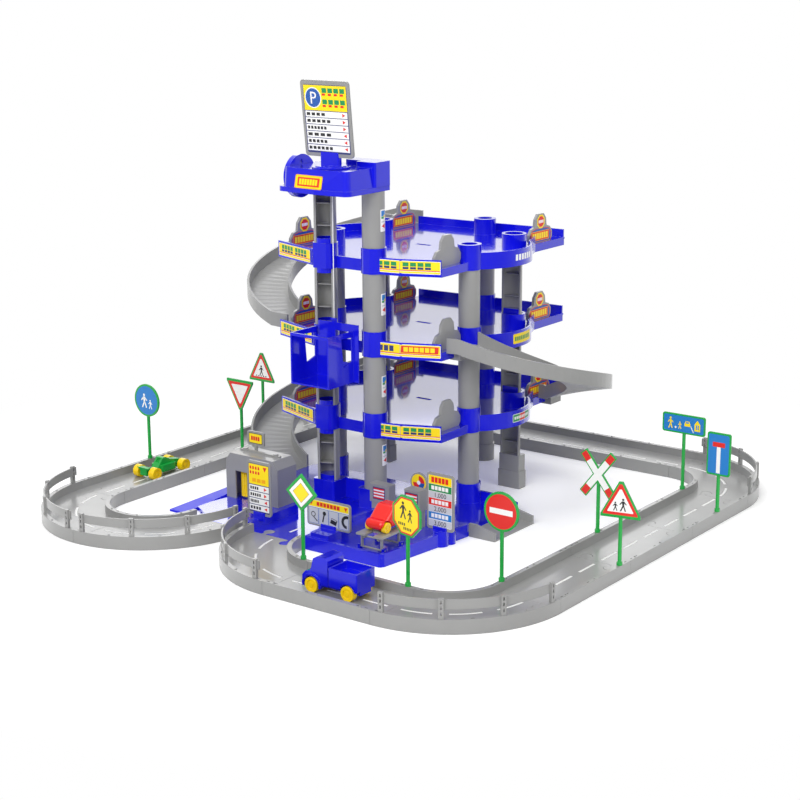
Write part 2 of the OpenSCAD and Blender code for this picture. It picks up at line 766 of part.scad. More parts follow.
module base_plate() {
    color(BLUE) difference() {
        union() {
            difference() {
                union() {
                    linear_extrude(road_z) polygon(base_outline());
                    linear_extrude(yard_z) polygon([[yard_x0, base_front],
                        [yard_corner - 8, base_front], [yard_corner - 2, base_front + 2],
                        [yard_corner + 1, base_front + 8], [exit_x - 2, exit_y0 - 14],
                        [yard_x0, exit_y0 - 14]]);
                    for (x = [lane_left + road_w/2, lane_right + road_w/2])
                        translate([x, base_front, 0]) rotate(180) road_tab();
                }
                base_pockets();
                for (x = [lane_left + road_w/2, lane_right + road_w/2])
                    translate([x, base_front, 0]) rotate(180) road_socket();
            }
            wall(yard_rim, base_wall, 0, rim_z);
            block([lane_right - 12, base_front, 0], [lane_right, island_y, curb_h], 2);
            block([yard_x0, base_front, 0], [yard_x0 + curb_t, pump_one[1] - 0.3, curb_h], 2);
            translate([boss[0], boss[1], 0]) cylinder(d = 26, h = rim_z + 4);
            translate([boss[0] + 6, boss[1] + 16, 0]) cylinder(d = 20, h = rim_z);
            block([yard_x0 + curb_t - 1, base_front + base_wall, 0],
                [62, base_front + 41.6, 28], 2);
            wall([[c_front_right[0] + 10, 52], [150, 54], tip - [4, 4]], base_wall, 0, rim_z + 4);
            wall([[c_lift_left[0] + 10, -62], [c_lift_right[0] - 10, -62]], base_wall, 0, block_top);
            for (c = [c_front_right, c_front_left]) column_block(c, column_d);
            for (c = [c_lift_left, c_lift_right]) lift_block(c);
            yard_lugs();
            sign_clip(service_at, 28, 30);
            sign_clip(wash_sign_at, wash_sign_z, 24);
            sign_clip(price_at, rim_z + 4, 26);
        }
        translate([pump_one[0] - 0.1, pump_one[1] - 0.1, road_z]) cube([36.2, 16.2, 30]);
    }
}

// Slotted clip on the base for an upright sign plate at point p
service_at = [40, base_front + 37.6];
wash_sign_at = [-94, base_front + 24.6];
wash_sign_z = curb_h + 6;
price_at = [183, -158];
clip_h = 6;

module sign_clip(p, z, w) {
    difference() {
        block([p[0] - w/2, p[1] - plate_t/2 - 3, z - 8], [p[0] + w/2, p[1] + plate_t/2 + 3,
            z + clip_h], 1.5);
        translate([p[0] - w, p[1] - plate_t/2 - board_clear, z])
            cube([2*w, plate_t + 2*board_clear, clip_h + 1]);
    }
}

module clip_sign(p, z, w, h) {
    translate([p[0], 0, z]) plate_xz(p[1] - plate_t/2, plate_t) rounded(w, h, 5);
}

module service_sign() color(GREY) clip_sign(service_at, 28, 88, 46);
module wash_sign() color(GREY) clip_sign(wash_sign_at, wash_sign_z, 50, 91);
module price_sign() color(GREY) clip_sign(price_at, rim_z + 4, 52, 93);

// Grey exit ramp at the right of the base
module exit_ramp() {
    x0 = exit_x + ramp_gap;
    side_profile = [[x0, 0], [x0 + exit_l, 0], [x0 + exit_l, 14], [x0 + 12, curb_h],
        [x0, curb_h]];
    color(GREY) {
        plate_xz(exit_y0, 5) polygon(side_profile);
        plate_xz(exit_y1 - 5, 5) polygon(side_profile);
        plate_xz(exit_y0 + 1, exit_y1 - exit_y0 - 2)
            polygon([[x0, road_z - road_t], [x0, road_z], [x0 + exit_l, 2], [x0 + exit_l, 0],
                [x0 + exit_l - 14, 0]]);
    }
}

// Car wash: driveway, house, roller and the plates on it
wash_x = -250;
wash_y = -184;
wash_z = road_z;
door_x = wash_x + 21;
roller_at = [wash_x + 30, wash_y + 17];

module wash_ramp() {
    color(BLUE) difference() {
        linear_extrude(14) polygon([[-290, -284], [-256, -284], [base_left - 0.3, -240],
            [base_left - 0.3, -150], [-274, -150]]);
        translate([-300, -290, 3]) rotate([atan(9/120), 0, 0]) cube([70, 200, 30]);
    }
}

module house_section(inset) {
    w = wash_w - 2*inset;
    translate([wash_x + inset, wash_z - (inset > 0 ? 1 : 0)])
        polygon([[0, 0], [w, 0], [w, wash_h - 14], [w - 10, wash_h - inset],
            [10, wash_h - inset], [0, wash_h - 14]]);
}

module wash_house() {
    color(GREY) {
        difference() {
            plate_xz(wash_y, wash_d) house_section(0);
            plate_xz(wash_y + wash_wall, wash_d - 2*wash_wall) house_section(wash_wall);
            translate([door_x, wash_y - 1, wash_z - 1]) cube([door_w, wash_d + 2, door_h + 1]);
        }
        translate([wash_x + 14, wash_y + wash_d/2 - 2.5, wash_z + wash_h - 1])
            cube([wash_w - 28, 5, 4]);
        for (x = [24, wash_w - 24]) translate([wash_x + x, wash_y + wash_d/2, wash_z + wash_h - 1])
            cylinder(d = 9, h = 6.5);
        translate([roller_at[0], roller_at[1], wash_z + 0.3])
            cylinder(d = roller_pin, h = wash_h - wash_wall);
        translate([roller_at[0], roller_at[1], wash_z + 0.3]) cylinder(d = roller_pin + 5, h = 2);
    }
}

// Roller with its bristle lobes round the core
module wash_roller() {
    z0 = wash_z + 2.6;
    color(YELLOW) translate([roller_at[0], roller_at[1], z0]) difference() {
        union() {
            cylinder(d = roller_d - 4, h = door_h - 4);
            for (i = [0:7]) rotate(45*i) translate([roller_d/2 - 2.6, 0, 0])
                cylinder(d = 5, h = door_h - 4, $fn = 24);
        }
        translate([0, 0, -1]) cylinder(d = roller_pin + 2*shaft_clear, h = door_h);
    }
}

roof_x = -214;

module roof_plate() {
    y = wash_y + wash_d - 12;
    z = wash_z + wash_h;
    color(GREY) {
        translate([roof_x, 0, z + 8]) plate_xz(y, plate_t) rounded(38, 25, 4);
        translate([roof_x, y + plate_t/2, z]) cylinder(d = 6, h = 10);
    }
}

// Hoist: a platform carried by two swinging legs
hoist_at = [137, base_front + 44.6];
hoist_z = yard_z + hoist_h;
leg_lean = 10;
leg_y0 = hoist_at[1] - 22;
leg_y1 = hoist_at[1] + 22;
hinge_low = yard_z + 4;
hinge_high = hoist_z - hoist_t - 2.4;
rail_x = 14;

module hoist_platform() {
    color(GREY) difference() {
        union() {
            for (x = [-1, 1]) translate([hoist_at[0] + x*(hoist_w/4 + 4) - hoist_w/6,
                hoist_at[1] - hoist_l/2, hoist_z - hoist_t])
                cube([hoist_w/3, hoist_l, hoist_t]);
            translate([hoist_at[0] - hoist_w/2 + 4, hoist_at[1] - 8, hoist_z - hoist_t])
                cube([hoist_w - 8, 16, hoist_t]);
            for (y = [leg_y0, leg_y1], x = [-1, 1])
                translate([hoist_at[0] + x*rail_x - 2, y - 3, hinge_high - 3])
                    cube([4, 6, hoist_z - hoist_t - hinge_high + 4]);
        }
        for (y = [leg_y0, leg_y1]) translate([hoist_at[0], y, hinge_high])
            rotate([0, 90, 0]) cylinder(d = hoist_pin + 2*shaft_clear, h = 60, center = true);
    }
}

module hoist_leg(y) {
    w = hoist_w - 10;
    x0 = hoist_at[0] - w/2;
    color(GREY) {
        translate([x0 - 1, y, hinge_high]) rotate([0, 90, 0]) cylinder(d = hoist_pin, h = w + 2);
        translate([x0 - 5, y, hinge_low]) rotate([0, 90, 0]) cylinder(d = hoist_pin, h = w + 10);
        for (x = [x0, x0 + w - 3]) translate([x, y - 2, hinge_low])
            cube([3, 4, hinge_high - hinge_low]);
    }
}

// Lugs on the yard that hold a leg's lower pin
module yard_lugs() {
    for (y = [leg_y0, leg_y1], s = [-1, 1]) difference() {
        translate([hoist_at[0] + s*((hoist_w - 10)/2 + 3) - 2, y - 4, yard_z - 1])
            cube([4, 8, hinge_low - yard_z + 4.5]);
        translate([hoist_at[0], y, hinge_low]) rotate([0, 90, 0])
            cylinder(d = hoist_pin + 2*shaft_clear, h = hoist_w + 20, center = true);
    }
}

module hoist_leg_front() hoist_leg(leg_y0);
module hoist_leg_back() hoist_leg(leg_y1);

// Fuel pumps and the round board between them
module pump(x, y, z, w, d, h) {
    translate([x, y, z]) {
        block([0, 0, 0], [w, d, h*0.45], 2);
        block([-2, -2, h*0.45], [w + 2, d + 2, h], 2);
    }
}

pump_one = [15, -121];
pump_two = [108, -150];

module fuel_pumps() {
    color(GREY) {
        pump(pump_one[0], pump_one[1], road_z, 36, 16, 56);
        pump(pump_two[0], pump_two[1], yard_z, 27, 18, 63);
        translate([100, -100, road_z]) cylinder(d = 6, h = 54);
        translate([100, 0, road_z + 67]) plate_xz(-103, plate_t) circle(d = 34);
    }
}

// Lift cage, cord, head and winding wheel
cage_x = -110;
cage_y = -172;
cord_x = -70;
drum_y = -117;
drum_z = head_z + 20;
cord_y = drum_y + drum_d/2 + cord_d/2 + 0.1;
hook_z = cage_z + 104;
wheel_x = -133.8;
drum_x = cord_x - 12;
shaft_d = 6;

module cage_window() {
    polygon([[39, 29], [cage_d - 6, 36], [cage_d - 6, cage_h - 10], [34, cage_h - 8]]);
}

module lift_cage() {
    y1 = cage_y + cage_d;
    color(BLUE) {
        translate([cage_x, cage_y, cage_z]) cube([cage_w, cage_d, cage_wall]);
        for (x = [cage_x, cage_x + cage_w - cage_wall]) translate([0, cage_y, cage_z])
            plate_yz(x, cage_wall) difference() {
                square([cage_d, cage_h]);
                cage_window();
            }
        translate([cage_x, cage_y, cage_z + cage_h - 5]) cube([cage_w, cage_wall, 5]);
        difference() {
            union() {
                translate([cage_x, y1 - cage_wall, cage_z]) cube([cage_w, cage_wall, 72]);
                translate([cage_x + 9, y1 - cage_wall, cage_z]) cube([cage_w + 1, cage_wall, 97]);
            }
            translate([cage_x + 42, y1 - 2*cage_wall, cage_z + 32])
                cube([cage_w - 47, 3*cage_wall, 52]);
        }
        hook();
    }
}

module hook() {
    y1 = cage_y + cage_d;
    translate([cord_x - 5, y1 - cage_wall, cage_z + 90]) cube([10, cage_wall, hook_z - cage_z - 92]);
    translate([cord_x - 5, cord_y - 2.5, hook_z - 4]) cube([10, y1 - cord_y + 2.5, 4]);
}

module lift_cord() {
    color(WHITE) translate([cord_x, cord_y, hook_z]) cylinder(d = cord_d, h = drum_z - hook_z,
        $fn = 16);
}

// Plan of the lift head from its left side x0, drawn in by i
function head_plan(x0, i, top) = let (t = top*7) concat(
    [[x0 + i, -57 - i]], arc([x0 + 12, -154 + t/2], 12 - i, 180, 262, 5),
    [[-55, -171 + i + t]], arc([-2 - t/2, -156 + t/2], 12 - i, 280, 360, 5),
    [[10 - i - t/2, -57 - i]]);

module head_solid(i, z0, z1) {
    hull() {
        translate([0, 0, z0]) linear_extrude(0.2) polygon(head_plan(body_left, i, 0));
        translate([0, 0, z1 - 0.2]) linear_extrude(0.2) polygon(head_plan(body_left, i, 1));
    }
}

lip_left = -137.5;
body_left = -129;

module head_shell() {
    roof = head_z + head_h;
    difference() {
        union() {
            head_solid(2, head_floor - 1, roof);
            translate([0, 0, head_z]) linear_extrude(8) polygon(head_plan(lip_left, 0, 0));
            block([-60, -84, head_floor], [11, -56, roof + 9], 3);
            block([-27, -98, head_floor], [12, -57, roof + 9], 3);
        }
        head_solid(2 + head_wall, head_z + head_wall, roof - head_wall);
        block([-57, -81, head_floor], [8, -61, roof + 6]);
        translate([wheel_x - 1, drum_y - wheel_d/2 - 2, head_z - 1])
            cube([wheel_t + 2, wheel_d + 4, head_h + 2]);
    }
}

web_t = 3;
web_one = wheel_x + wheel_t + 2;
web_two = cord_x + 18;

module lift_head() {
    roof = head_z + head_h;
    inner = lift_column_d/2 - column_wall - spigot_clear;
    color(BLUE) difference() {
        union() {
            head_shell();
            for (x = [web_one, web_two]) translate([x, drum_y - 10, head_z + 1])
                cube([web_t, 20, head_h - 2]);
            translate([c_lift_right[0], c_lift_right[1], head_z - spigot_h])
                cylinder(r = inner, h = spigot_h + 1);
            translate([c_lift_left[0], c_lift_left[1], head_z - spigot_h]) intersection() {
                cylinder(r = inner, h = spigot_h + 1);
                translate([-30, 0, 0]) cube([60, 30, 3*spigot_h]);
            }
        }
        translate([wheel_x, drum_y, drum_z]) rotate([0, 90, 0])
            cylinder(d = shaft_d + 2*shaft_clear, h = web_two + web_t - wheel_x + 0.5);
        translate([cord_x, cord_y, head_z - 1]) cylinder(r = 4, h = head_wall + 2);
    }
}

module winding_wheel() {
    color(BLUE) translate([wheel_x, drum_y, drum_z]) rotate([0, 90, 0]) {
        difference() {
            cylinder(d = wheel_d, h = wheel_t, $fn = 96);
            translate([0, 0, -1]) cylinder(d = wheel_d - 10, h = 3.5);
            for (i = [0:5]) rotate(60*i) translate([wheel_d/2 - 12, 0, -1])
                cylinder(d = 6, h = wheel_t + 2);
        }
        cylinder(d = shaft_d, h = web_two + web_t - wheel_x);
        translate([0, 0, drum_x - wheel_x]) {
            cylinder(d = drum_d, h = 24);
            cylinder(d = drum_d + 6, h = 1.5);
            translate([0, 0, 22.5]) cylinder(d = drum_d + 6, h = 1.5);
        }
    }
}

// Turning billboard on the lift head
turn_at = [-52, -130];
turn_d = 63;
board_seat = 17;

module sign_turntable() {
    z = head_z + head_h + 0.3;
    color(BLUE) translate([turn_at[0], turn_at[1], z]) {
        difference() {
            union() {
                cylinder(d = turn_d, h = 2.5);
                cylinder(d = turn_d - 12, h = 4);
                block([-19, -5, 0], [19, 5, board_seat + 8], 3);
            }
            rotate([billboard_tilt, 0, 0]) translate([-25, -plate_t/2 - 0.2, board_seat])
                cube([50, plate_t + 0.4, 20]);
        }
    }
}

module billboard() {
    z = head_z + head_h + 0.3;
    color(GREY) translate([turn_at[0], turn_at[1], z]) rotate([billboard_tilt, 0, 0])
        translate([0, 0, board_seat + 0.3]) plate_xz(-plate_t/2, plate_t)
            rounded(billboard_w, billboard_h, 6);
}

// Vehicles. Each is drawn along +X, wheels on Z = 0, and then set in its place.
module wheel_pair(x, d, track, w) {
    translate([x, 0, d/2]) rotate([90, 0, 0]) {
        cylinder(d = axle_d, h = track + w, center = true);
        for (s = [-1, 1]) translate([0, 0, s*track/2]) difference() {
            cylinder(d = d, h = w, center = true);
            translate([0, 0, s*w/2]) difference() {
                cylinder(d = d*0.62, h = 2, center = true);
                cylinder(d = d*0.34, h = 3, center = true);
            }
        }
    }
}

module axle_bore(x, d, w) {
    translate([x, 0, d/2]) rotate([90, 0, 0])
        cylinder(d = axle_d + 2*shaft_clear, h = w + 10, center = true);
}

module wheel_arch(x, d, track, w) {
    for (s = [-1, 1]) translate([x, s*track/2, d/2]) rotate([90, 0, 0])
        cylinder(d = d + 5, h = w + 2, center = true);
}

truck_track = 36;
truck_tread = 9;
truck_front_x = -33;
truck_rear_x = 34;

module truck_place() translate([front_x0 + 98, -half - road_mid, road_z + 0.3]) children();

module truck_front() {
    plate_xz(-truck_w/2 + 3, truck_w - 6) polygon([[-52, 13], [-52, 23], [-46, 30], [-36, 33],
        [-31, 52], [-24, 56], [-8, 56], [-4, 52], [-4, 13]]);
}

module truck_body() {
    z0 = 13;
    color(BLUE) truck_place() difference() {
        union() {
            truck_front();
            block([-52, -truck_w/2 + 8, z0 - 3], [52, truck_w/2 - 8, z0 + 6], 3);
            for (s = [-1, 1]) translate([truck_front_x, s*(truck_w/2 - 4.5), truck_wheel/2])
                rotate([90, 0, 0]) cylinder(d = truck_wheel + 12, h = 9, center = true);
            difference() {
                block([-1, -truck_w/2, z0 + 3], [52, truck_w/2, 44], 2);
                block([1.5, -truck_w/2 + 2.5, z0 + 20], [49.5, truck_w/2 - 2.5, 50], 1);
            }
            block([-5, -truck_w/2 + 5, z0], [1, truck_w/2 - 5, 30]);
        }
        wheel_arch(truck_front_x, truck_wheel, truck_track, truck_tread);
        wheel_arch(truck_rear_x, truck_wheel, truck_track, truck_tread);
        axle_bore(truck_front_x, truck_wheel, truck_w);
        axle_bore(truck_rear_x, truck_wheel, truck_w);
        block([-60, -truck_w, -20], [60, truck_w, 8]);
        plate_xz(-truck_w/2 + 6, truck_w - 12) polygon([[-28, 36], [-24, 52], [-8, 52],
            [-8, 36]]);
    }
}

module truck_axle_front()
    color(YELLOW) truck_place() wheel_pair(truck_front_x, truck_wheel, truck_track, truck_tread);
module truck_axle_rear()
    color(YELLOW) truck_place() wheel_pair(truck_rear_x, truck_wheel, truck_track, truck_tread);

racer_track = 38;
racer_tread = 12;
racer_front_x = -36;
racer_rear_x = 37;

module racer_place()
    translate([-half - road_mid, -151, road_z + 0.3]) rotate(90) children();

module racer_body() {
    color(GREEN) racer_place() difference() {
        union() {
            plate_xz(-8, 16) polygon([[-46, 7], [-46, 18], [-41, 20], [-32, 13], [-18, 14],
                [-4, 31], [3, 31], [14, 25], [42, 19], [45, 12], [45, 7]]);
            block([-13, -14.5, 7], [24, 14.5, 19], 5);
            block([-46, -17, 18], [-37, 17, 21], 1.5);
            block([28, -12, 7], [45, 12, 15], 2);
        }
        translate([-9, 0, 27]) rotate([90, 0, 0]) cylinder(d = 9, h = 9, center = true);
        axle_bore(racer_front_x, racer_wheel, racer_track);
        axle_bore(racer_rear_x, racer_wheel, racer_track);
        wheel_arch(racer_front_x, racer_wheel, racer_track, racer_tread);
        wheel_arch(racer_rear_x, racer_wheel, racer_track, racer_tread);
    }
}

module racer_axle_front()
    color(YELLOW) racer_place() wheel_pair(racer_front_x, racer_wheel, racer_track, racer_tread);
module racer_axle_rear()
    color(YELLOW) racer_place() wheel_pair(racer_rear_x, racer_wheel, racer_track, racer_tread);

car_track = 31;
car_tread = 7;
car_front_x = -22;
car_rear_x = 20;

module car_place()
    translate([hoist_at[0], hoist_at[1] + 16, hoist_z + 0.3]) rotate(90) children();

module car_body() {
    color(RED) car_place() difference() {
        car_shell(car_l/2);
        axle_bore(car_front_x, car_wheel, car_w);
        axle_bore(car_rear_x, car_wheel, car_w);
        wheel_arch(car_front_x, car_wheel, car_track, car_tread);
        wheel_arch(car_rear_x, car_wheel, car_track, car_tread);
    }
}

// Car shell: a hull of balls for the body and one for the cabin
module car_shell(h) {
    hull() for (x = [-h + 9.6, h - 8.6], y = [-car_w/2 + 8.6, car_w/2 - 8.6])
        translate([x, y, 13.1]) sphere(8.6, $fn = 32);
    hull() for (q = [[-18, 15.2], [23, 16.1], [0, 31.5], [13, 31.2]],
        y = [-car_w/2 + 9.2, car_w/2 - 9.2]) translate([q[0], y, q[1]]) sphere(8.6, $fn = 28);
}

module car_axle_front()
    color(YELLOW) car_place() wheel_pair(car_front_x, car_wheel, car_track, car_tread);
module car_axle_rear()
    color(YELLOW) car_place() wheel_pair(car_rear_x, car_wheel, car_track, car_tread);

// Traffic signs: a foot on the curb, a post and a head of one of several shapes
module ngon(n, w, turn = 0) rotate(turn) circle(d = w/cos(180/n), $fn = n);

module sign_head(kind) {
    w = sign_w;
    if (kind == "disc") circle(d = w);
    if (kind == "up") polygon([[-w/2 - 1, -w*0.47], [w/2 + 1, -w*0.47], [w/2 + 1, -w*0.4],
        [3, w*0.47], [-3, w*0.47], [-w/2 - 1, -w*0.4]]);
    if (kind == "down") rotate(180) sign_head("up");
    if (kind == "diamond") rotate(45) square(w*0.7, center = true);
    if (kind == "octagon") ngon(8, w, 22.5);
    if (kind == "wide") translate([0, -w*0.28]) rounded(w*1.34, w*0.56, 4);
    if (kind == "tall") translate([0, -w*0.6]) rounded(w*0.7, w*1.2, 4);
    if (kind == "cross") for (a = [-1, 1]) rotate(a*38) square([w*0.24, w*1.46], center = true);
}

// A sign with its head dz above the usual height, turned about its post
module traffic_sign(p, kind, dz, turn) {
    translate([p[0], p[1], curb_h]) rotate(turn) color(GREEN) {
        cylinder(d = 9, h = 5, $fn = 24);
        cylinder(d = sign_post_d, h = sign_h + dz, $fn = 24);
        translate([0, 0, sign_h + dz]) plate_xz(-plate_t/2 - 1.5, plate_t) sign_head(kind);
    }
}

curb_out = loop_out - curb_mid;
curb_in = loop_in + curb_mid;
signs_front = [[[front_x0 + 186.5, -curb_in], "octagon", 4, -12],
    [[curb_in, 12 - half], "disc", 4, 0],
    [[curb_in, -13], "cross", -7, 0], [[curb_out, -126.5], "up", 0, 12],
    [[curb_out, 193.5], "tall", -5, 0]];
signs_back = [[[-curb_out, -126.5], "disc", 6, 0], [[-curb_in, 8], "down", 4, 0],
    [[-curb_out, 188], "up", 7, 0], [[curb_in, 271], "wide", 12, 0]];
diamond_at = [front_x0, -half] + polar(curve_r + curb_mid, 262);

module traffic_signs_front() {
    for (s = signs_front) traffic_sign(s[0], s[1], s[2], s[3]);
    traffic_sign(diamond_at, "diamond", 3, 0);
}

module traffic_signs_back() for (s = signs_back) traffic_sign(s[0], s[1], s[2], s[3]);

road_front();
road_right();
road_back();
road_left();
curve_front_right();
curve_back_right();
curve_back_left();
curve_left_outer();
curve_left_inner();
curve_front_left();
rail_front_right();
rail_back_right();
rail_back_left();
rail_left_outer();
rail_left_inner();
rail_front_left();
base_plate();
exit_ramp();
wash_ramp();
wash_house();
wash_roller();
wash_sign();
roof_plate();
service_sign();
price_sign();
hoist_platform();
hoist_leg_front();
hoist_leg_back();
fuel_pumps();
column_lift_left();
column_lift_right();
column_front_right();
column_ramp_right();
column_back();
column_front_left();
column_ramp_left();
deck_lower();
deck_middle();
deck_upper();
exit_boards();
ramp_upper_left();
ramp_right();
ramp_lower_left();
lift_head();
winding_wheel();
lift_cage();
lift_cord();
sign_turntable();
billboard();
truck_body();
truck_axle_front();
truck_axle_rear();
racer_body();
racer_axle_front();
racer_axle_rear();
car_body();
car_axle_front();
car_axle_rear();
traffic_signs_front();
traffic_signs_back();
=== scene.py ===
# %% [markdown]
# A toy parking garage: three blue decks on grey tubes, a crank lift, curved ramps and a road loop.
# The CAD model gives every form, so this lesson adds what a mould and a printer add to it:
# satin and glossy plastic, printed film labels, lane dashes, kerb slots and a braided cord.
# Sizes are written in millimetres, because the toy was drawn in them, and turned to metres once.

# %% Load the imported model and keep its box
import json
import math

import bmesh
import bpy
from mathutils import Matrix, Vector


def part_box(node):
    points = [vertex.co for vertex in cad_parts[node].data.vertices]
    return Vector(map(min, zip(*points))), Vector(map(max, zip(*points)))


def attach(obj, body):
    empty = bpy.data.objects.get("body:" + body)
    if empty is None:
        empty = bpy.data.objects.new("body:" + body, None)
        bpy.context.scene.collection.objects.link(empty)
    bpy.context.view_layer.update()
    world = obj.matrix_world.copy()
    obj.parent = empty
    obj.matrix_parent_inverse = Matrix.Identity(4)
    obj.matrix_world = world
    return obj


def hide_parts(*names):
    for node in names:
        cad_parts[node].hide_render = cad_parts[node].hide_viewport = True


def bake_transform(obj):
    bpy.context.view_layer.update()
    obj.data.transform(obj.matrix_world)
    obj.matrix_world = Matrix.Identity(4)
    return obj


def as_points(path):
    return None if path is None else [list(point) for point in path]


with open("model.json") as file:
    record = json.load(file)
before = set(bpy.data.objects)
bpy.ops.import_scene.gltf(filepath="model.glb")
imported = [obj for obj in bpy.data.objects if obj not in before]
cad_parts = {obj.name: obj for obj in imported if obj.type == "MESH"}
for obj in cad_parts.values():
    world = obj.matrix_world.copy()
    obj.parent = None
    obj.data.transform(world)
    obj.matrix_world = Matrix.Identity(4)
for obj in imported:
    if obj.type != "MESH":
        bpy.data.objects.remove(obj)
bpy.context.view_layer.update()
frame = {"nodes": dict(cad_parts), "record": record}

MM = 0.001
NODES = frame["nodes"]

# %% [markdown]
# The photograph is a long-lens studio shot: the camera stands about three metres away, a little
# above the roof, and looks down by 14 degrees. The place below was found by matching corners of
# the model to the picture, and the last value is the small tilt of the horizon.

# %% Camera
IMAGE_PX = 800          # width and height of the photograph
FOCAL_PX = 1755.3       # focal length in pixels of that picture
SENSOR_MM = 36
EYE_MM = (1719.28, -2317.37, 919.58)
LOOK = (-0.5802, 0.7755, -0.2489)
TILT_DEG = -0.307       # tilt of the horizon

def aim(location_mm, forward, roll_deg):
    data = bpy.data.cameras.new("studio_camera")
    data.sensor_width = SENSOR_MM
    data.lens = FOCAL_PX * SENSOR_MM / IMAGE_PX
    data.clip_start, data.clip_end = 0.1, 50
    camera = bpy.data.objects.new("studio_camera", data)
    bpy.context.collection.objects.link(camera)
    turn = Vector(forward).to_track_quat("-Z", "Y").to_matrix().to_4x4()
    camera.matrix_world = (Matrix.Translation(Vector(location_mm) * MM) @ turn
                           @ Matrix.Rotation(math.radians(roll_deg), 4, "Z"))
    bpy.context.scene.camera = camera
    return camera

camera = aim(EYE_MM, LOOK, TILT_DEG)
bpy.context.scene.view_settings.view_transform = "Standard"

# %% Check the camera on known corners
def pixel(x, y, z):
    """Where a point of the model, in millimetres, falls in the picture."""
    local = camera.matrix_world.inverted() @ (Vector((x, y, z)) * MM)
    return (IMAGE_PX / 2 + FOCAL_PX * local.x / -local.z,
            IMAGE_PX / 2 - FOCAL_PX * local.y / -local.z)

for corner in ((-20, -93, 422), (152, 121, 422), (-249, -181, 8)):
    print("corner", corner, "is at pixel", [round(v, 1) for v in pixel(*corner)])

# %% [markdown]
# Every finish is a small tree of shader nodes. One function adds a node, sets it and joins it,
# and colours are written as the hex values a designer would read from a screen, then turned to
# the linear light that the renderer works in.

# %% Shader helpers
def linear(hex_colour):
    parts = [int(hex_colour[i:i + 2], 16) / 255 for i in (1, 3, 5)]
    return tuple(c / 12.92 if c <= 0.04045 else ((c + 0.055) / 1.055) ** 2.4
                 for c in parts) + (1.0,)

def add(tree, kind, inputs=None, **settings):
    """Adds one node; an input is a value or the output socket that feeds it."""
    node = tree.nodes.new(kind)
    for key, value in settings.items():
        setattr(node, key, value)
    for name, value in (inputs or {}).items():
        if isinstance(value, bpy.types.NodeSocket):
            tree.links.new(value, node.inputs[name])
        else:
            node.inputs[name].default_value = value
    return node

def new_material(name):
    material = bpy.data.materials.new(name)
    material.use_nodes = True
    material.node_tree.nodes.clear()
    return material, material.node_tree

# %% [markdown]
# The studio is a white sweep. The floor is matt white card, which takes the soft shadow under
# the toy, and the world behind it is white for the camera, for reflections and through glass.
# Diffuse light comes from the same world at a lower level, so a colour renders as it is written.

# %% Floor and world
SWEEP_HALF = 6.0        # metres from the middle of the sweep to its edge
SWEEP_DROP = 0.0004     # metres below the toy, so that the two never share a face

def studio_floor(half, drop):
    mesh = bpy.data.meshes.new("studio_floor")
    corners = [(-half, -half), (half, -half), (half, half), (-half, half)]
    mesh.from_pydata([(x, y, -drop) for x, y in corners], [], [(0, 1, 2, 3)])
    floor = bpy.data.objects.new("studio_floor", mesh)
    bpy.context.collection.objects.link(floor)
    return floor

floor = studio_floor(SWEEP_HALF, SWEEP_DROP)
card, tree = new_material("matt_white_card_floor")
path = add(tree, "ShaderNodeLightPath")
fibre = add(tree, "ShaderNodeTexNoise", {"Scale": 90.0, "Detail": 4.0})
tone = add(tree, "ShaderNodeMapRange",
           {"Value": fibre.outputs["Fac"], "To Min": 0.93, "To Max": 0.96})
shade = add(tree, "ShaderNodeBsdfDiffuse", {"Color": tone.outputs["Result"]})
lift = add(tree, "ShaderNodeEmission", {"Color": (1, 1, 1, 1), "Strength": 0.16})
lit = add(tree, "ShaderNodeAddShader", {0: shade.outputs[0], 1: lift.outputs[0]})
spot = add(tree, "ShaderNodeTexCoord").outputs["Object"]
reach = add(tree, "ShaderNodeVectorMath", {0: spot}, operation="LENGTH")
sweep = add(tree, "ShaderNodeMapRange",
            {"Value": reach.outputs["Value"], "From Min": 0.62, "From Max": 1.05},
            interpolation_type="SMOOTHSTEP")
plain = add(tree, "ShaderNodeEmission", {"Color": (1, 1, 1, 1), "Strength": 1.0})
lit = add(tree, "ShaderNodeMixShader",
          {0: sweep.outputs["Result"], 1: lit.outputs[0], 2: plain.outputs[0]})
seen = add(tree, "ShaderNodeMath",
           {0: path.outputs["Is Camera Ray"], 1: path.outputs["Is Glossy Ray"]},
           operation="MAXIMUM")
pick = add(tree, "ShaderNodeMixShader",
           {0: seen.outputs[0], 1: shade.outputs[0], 2: lit.outputs[0]})
add(tree, "ShaderNodeOutputMaterial", {"Surface": pick.outputs[0]})
floor.data.materials.append(card)

world = bpy.data.worlds.new("white_studio")
world.use_nodes = True
bpy.context.scene.world = world
tree = world.node_tree
tree.nodes.clear()
path = add(tree, "ShaderNodeLightPath")
seen = add(tree, "ShaderNodeMath",
           {0: path.outputs["Is Camera Ray"], 1: path.outputs["Is Glossy Ray"]},
           operation="MAXIMUM")
seen = add(tree, "ShaderNodeMath",
           {0: seen.outputs[0], 1: path.outputs["Is Transmission Ray"]},
           operation="MAXIMUM")
soft = add(tree, "ShaderNodeBackground", {"Color": (1, 1, 1, 1), "Strength": 0.36})
white = add(tree, "ShaderNodeBackground", {"Color": (1, 1, 1, 1), "Strength": 1.0})
both = add(tree, "ShaderNodeMixShader",
           {0: seen.outputs[0], 1: soft.outputs[0], 2: white.outputs[0]})
add(tree, "ShaderNodeOutputWorld", {"Surface": both.outputs[0]})

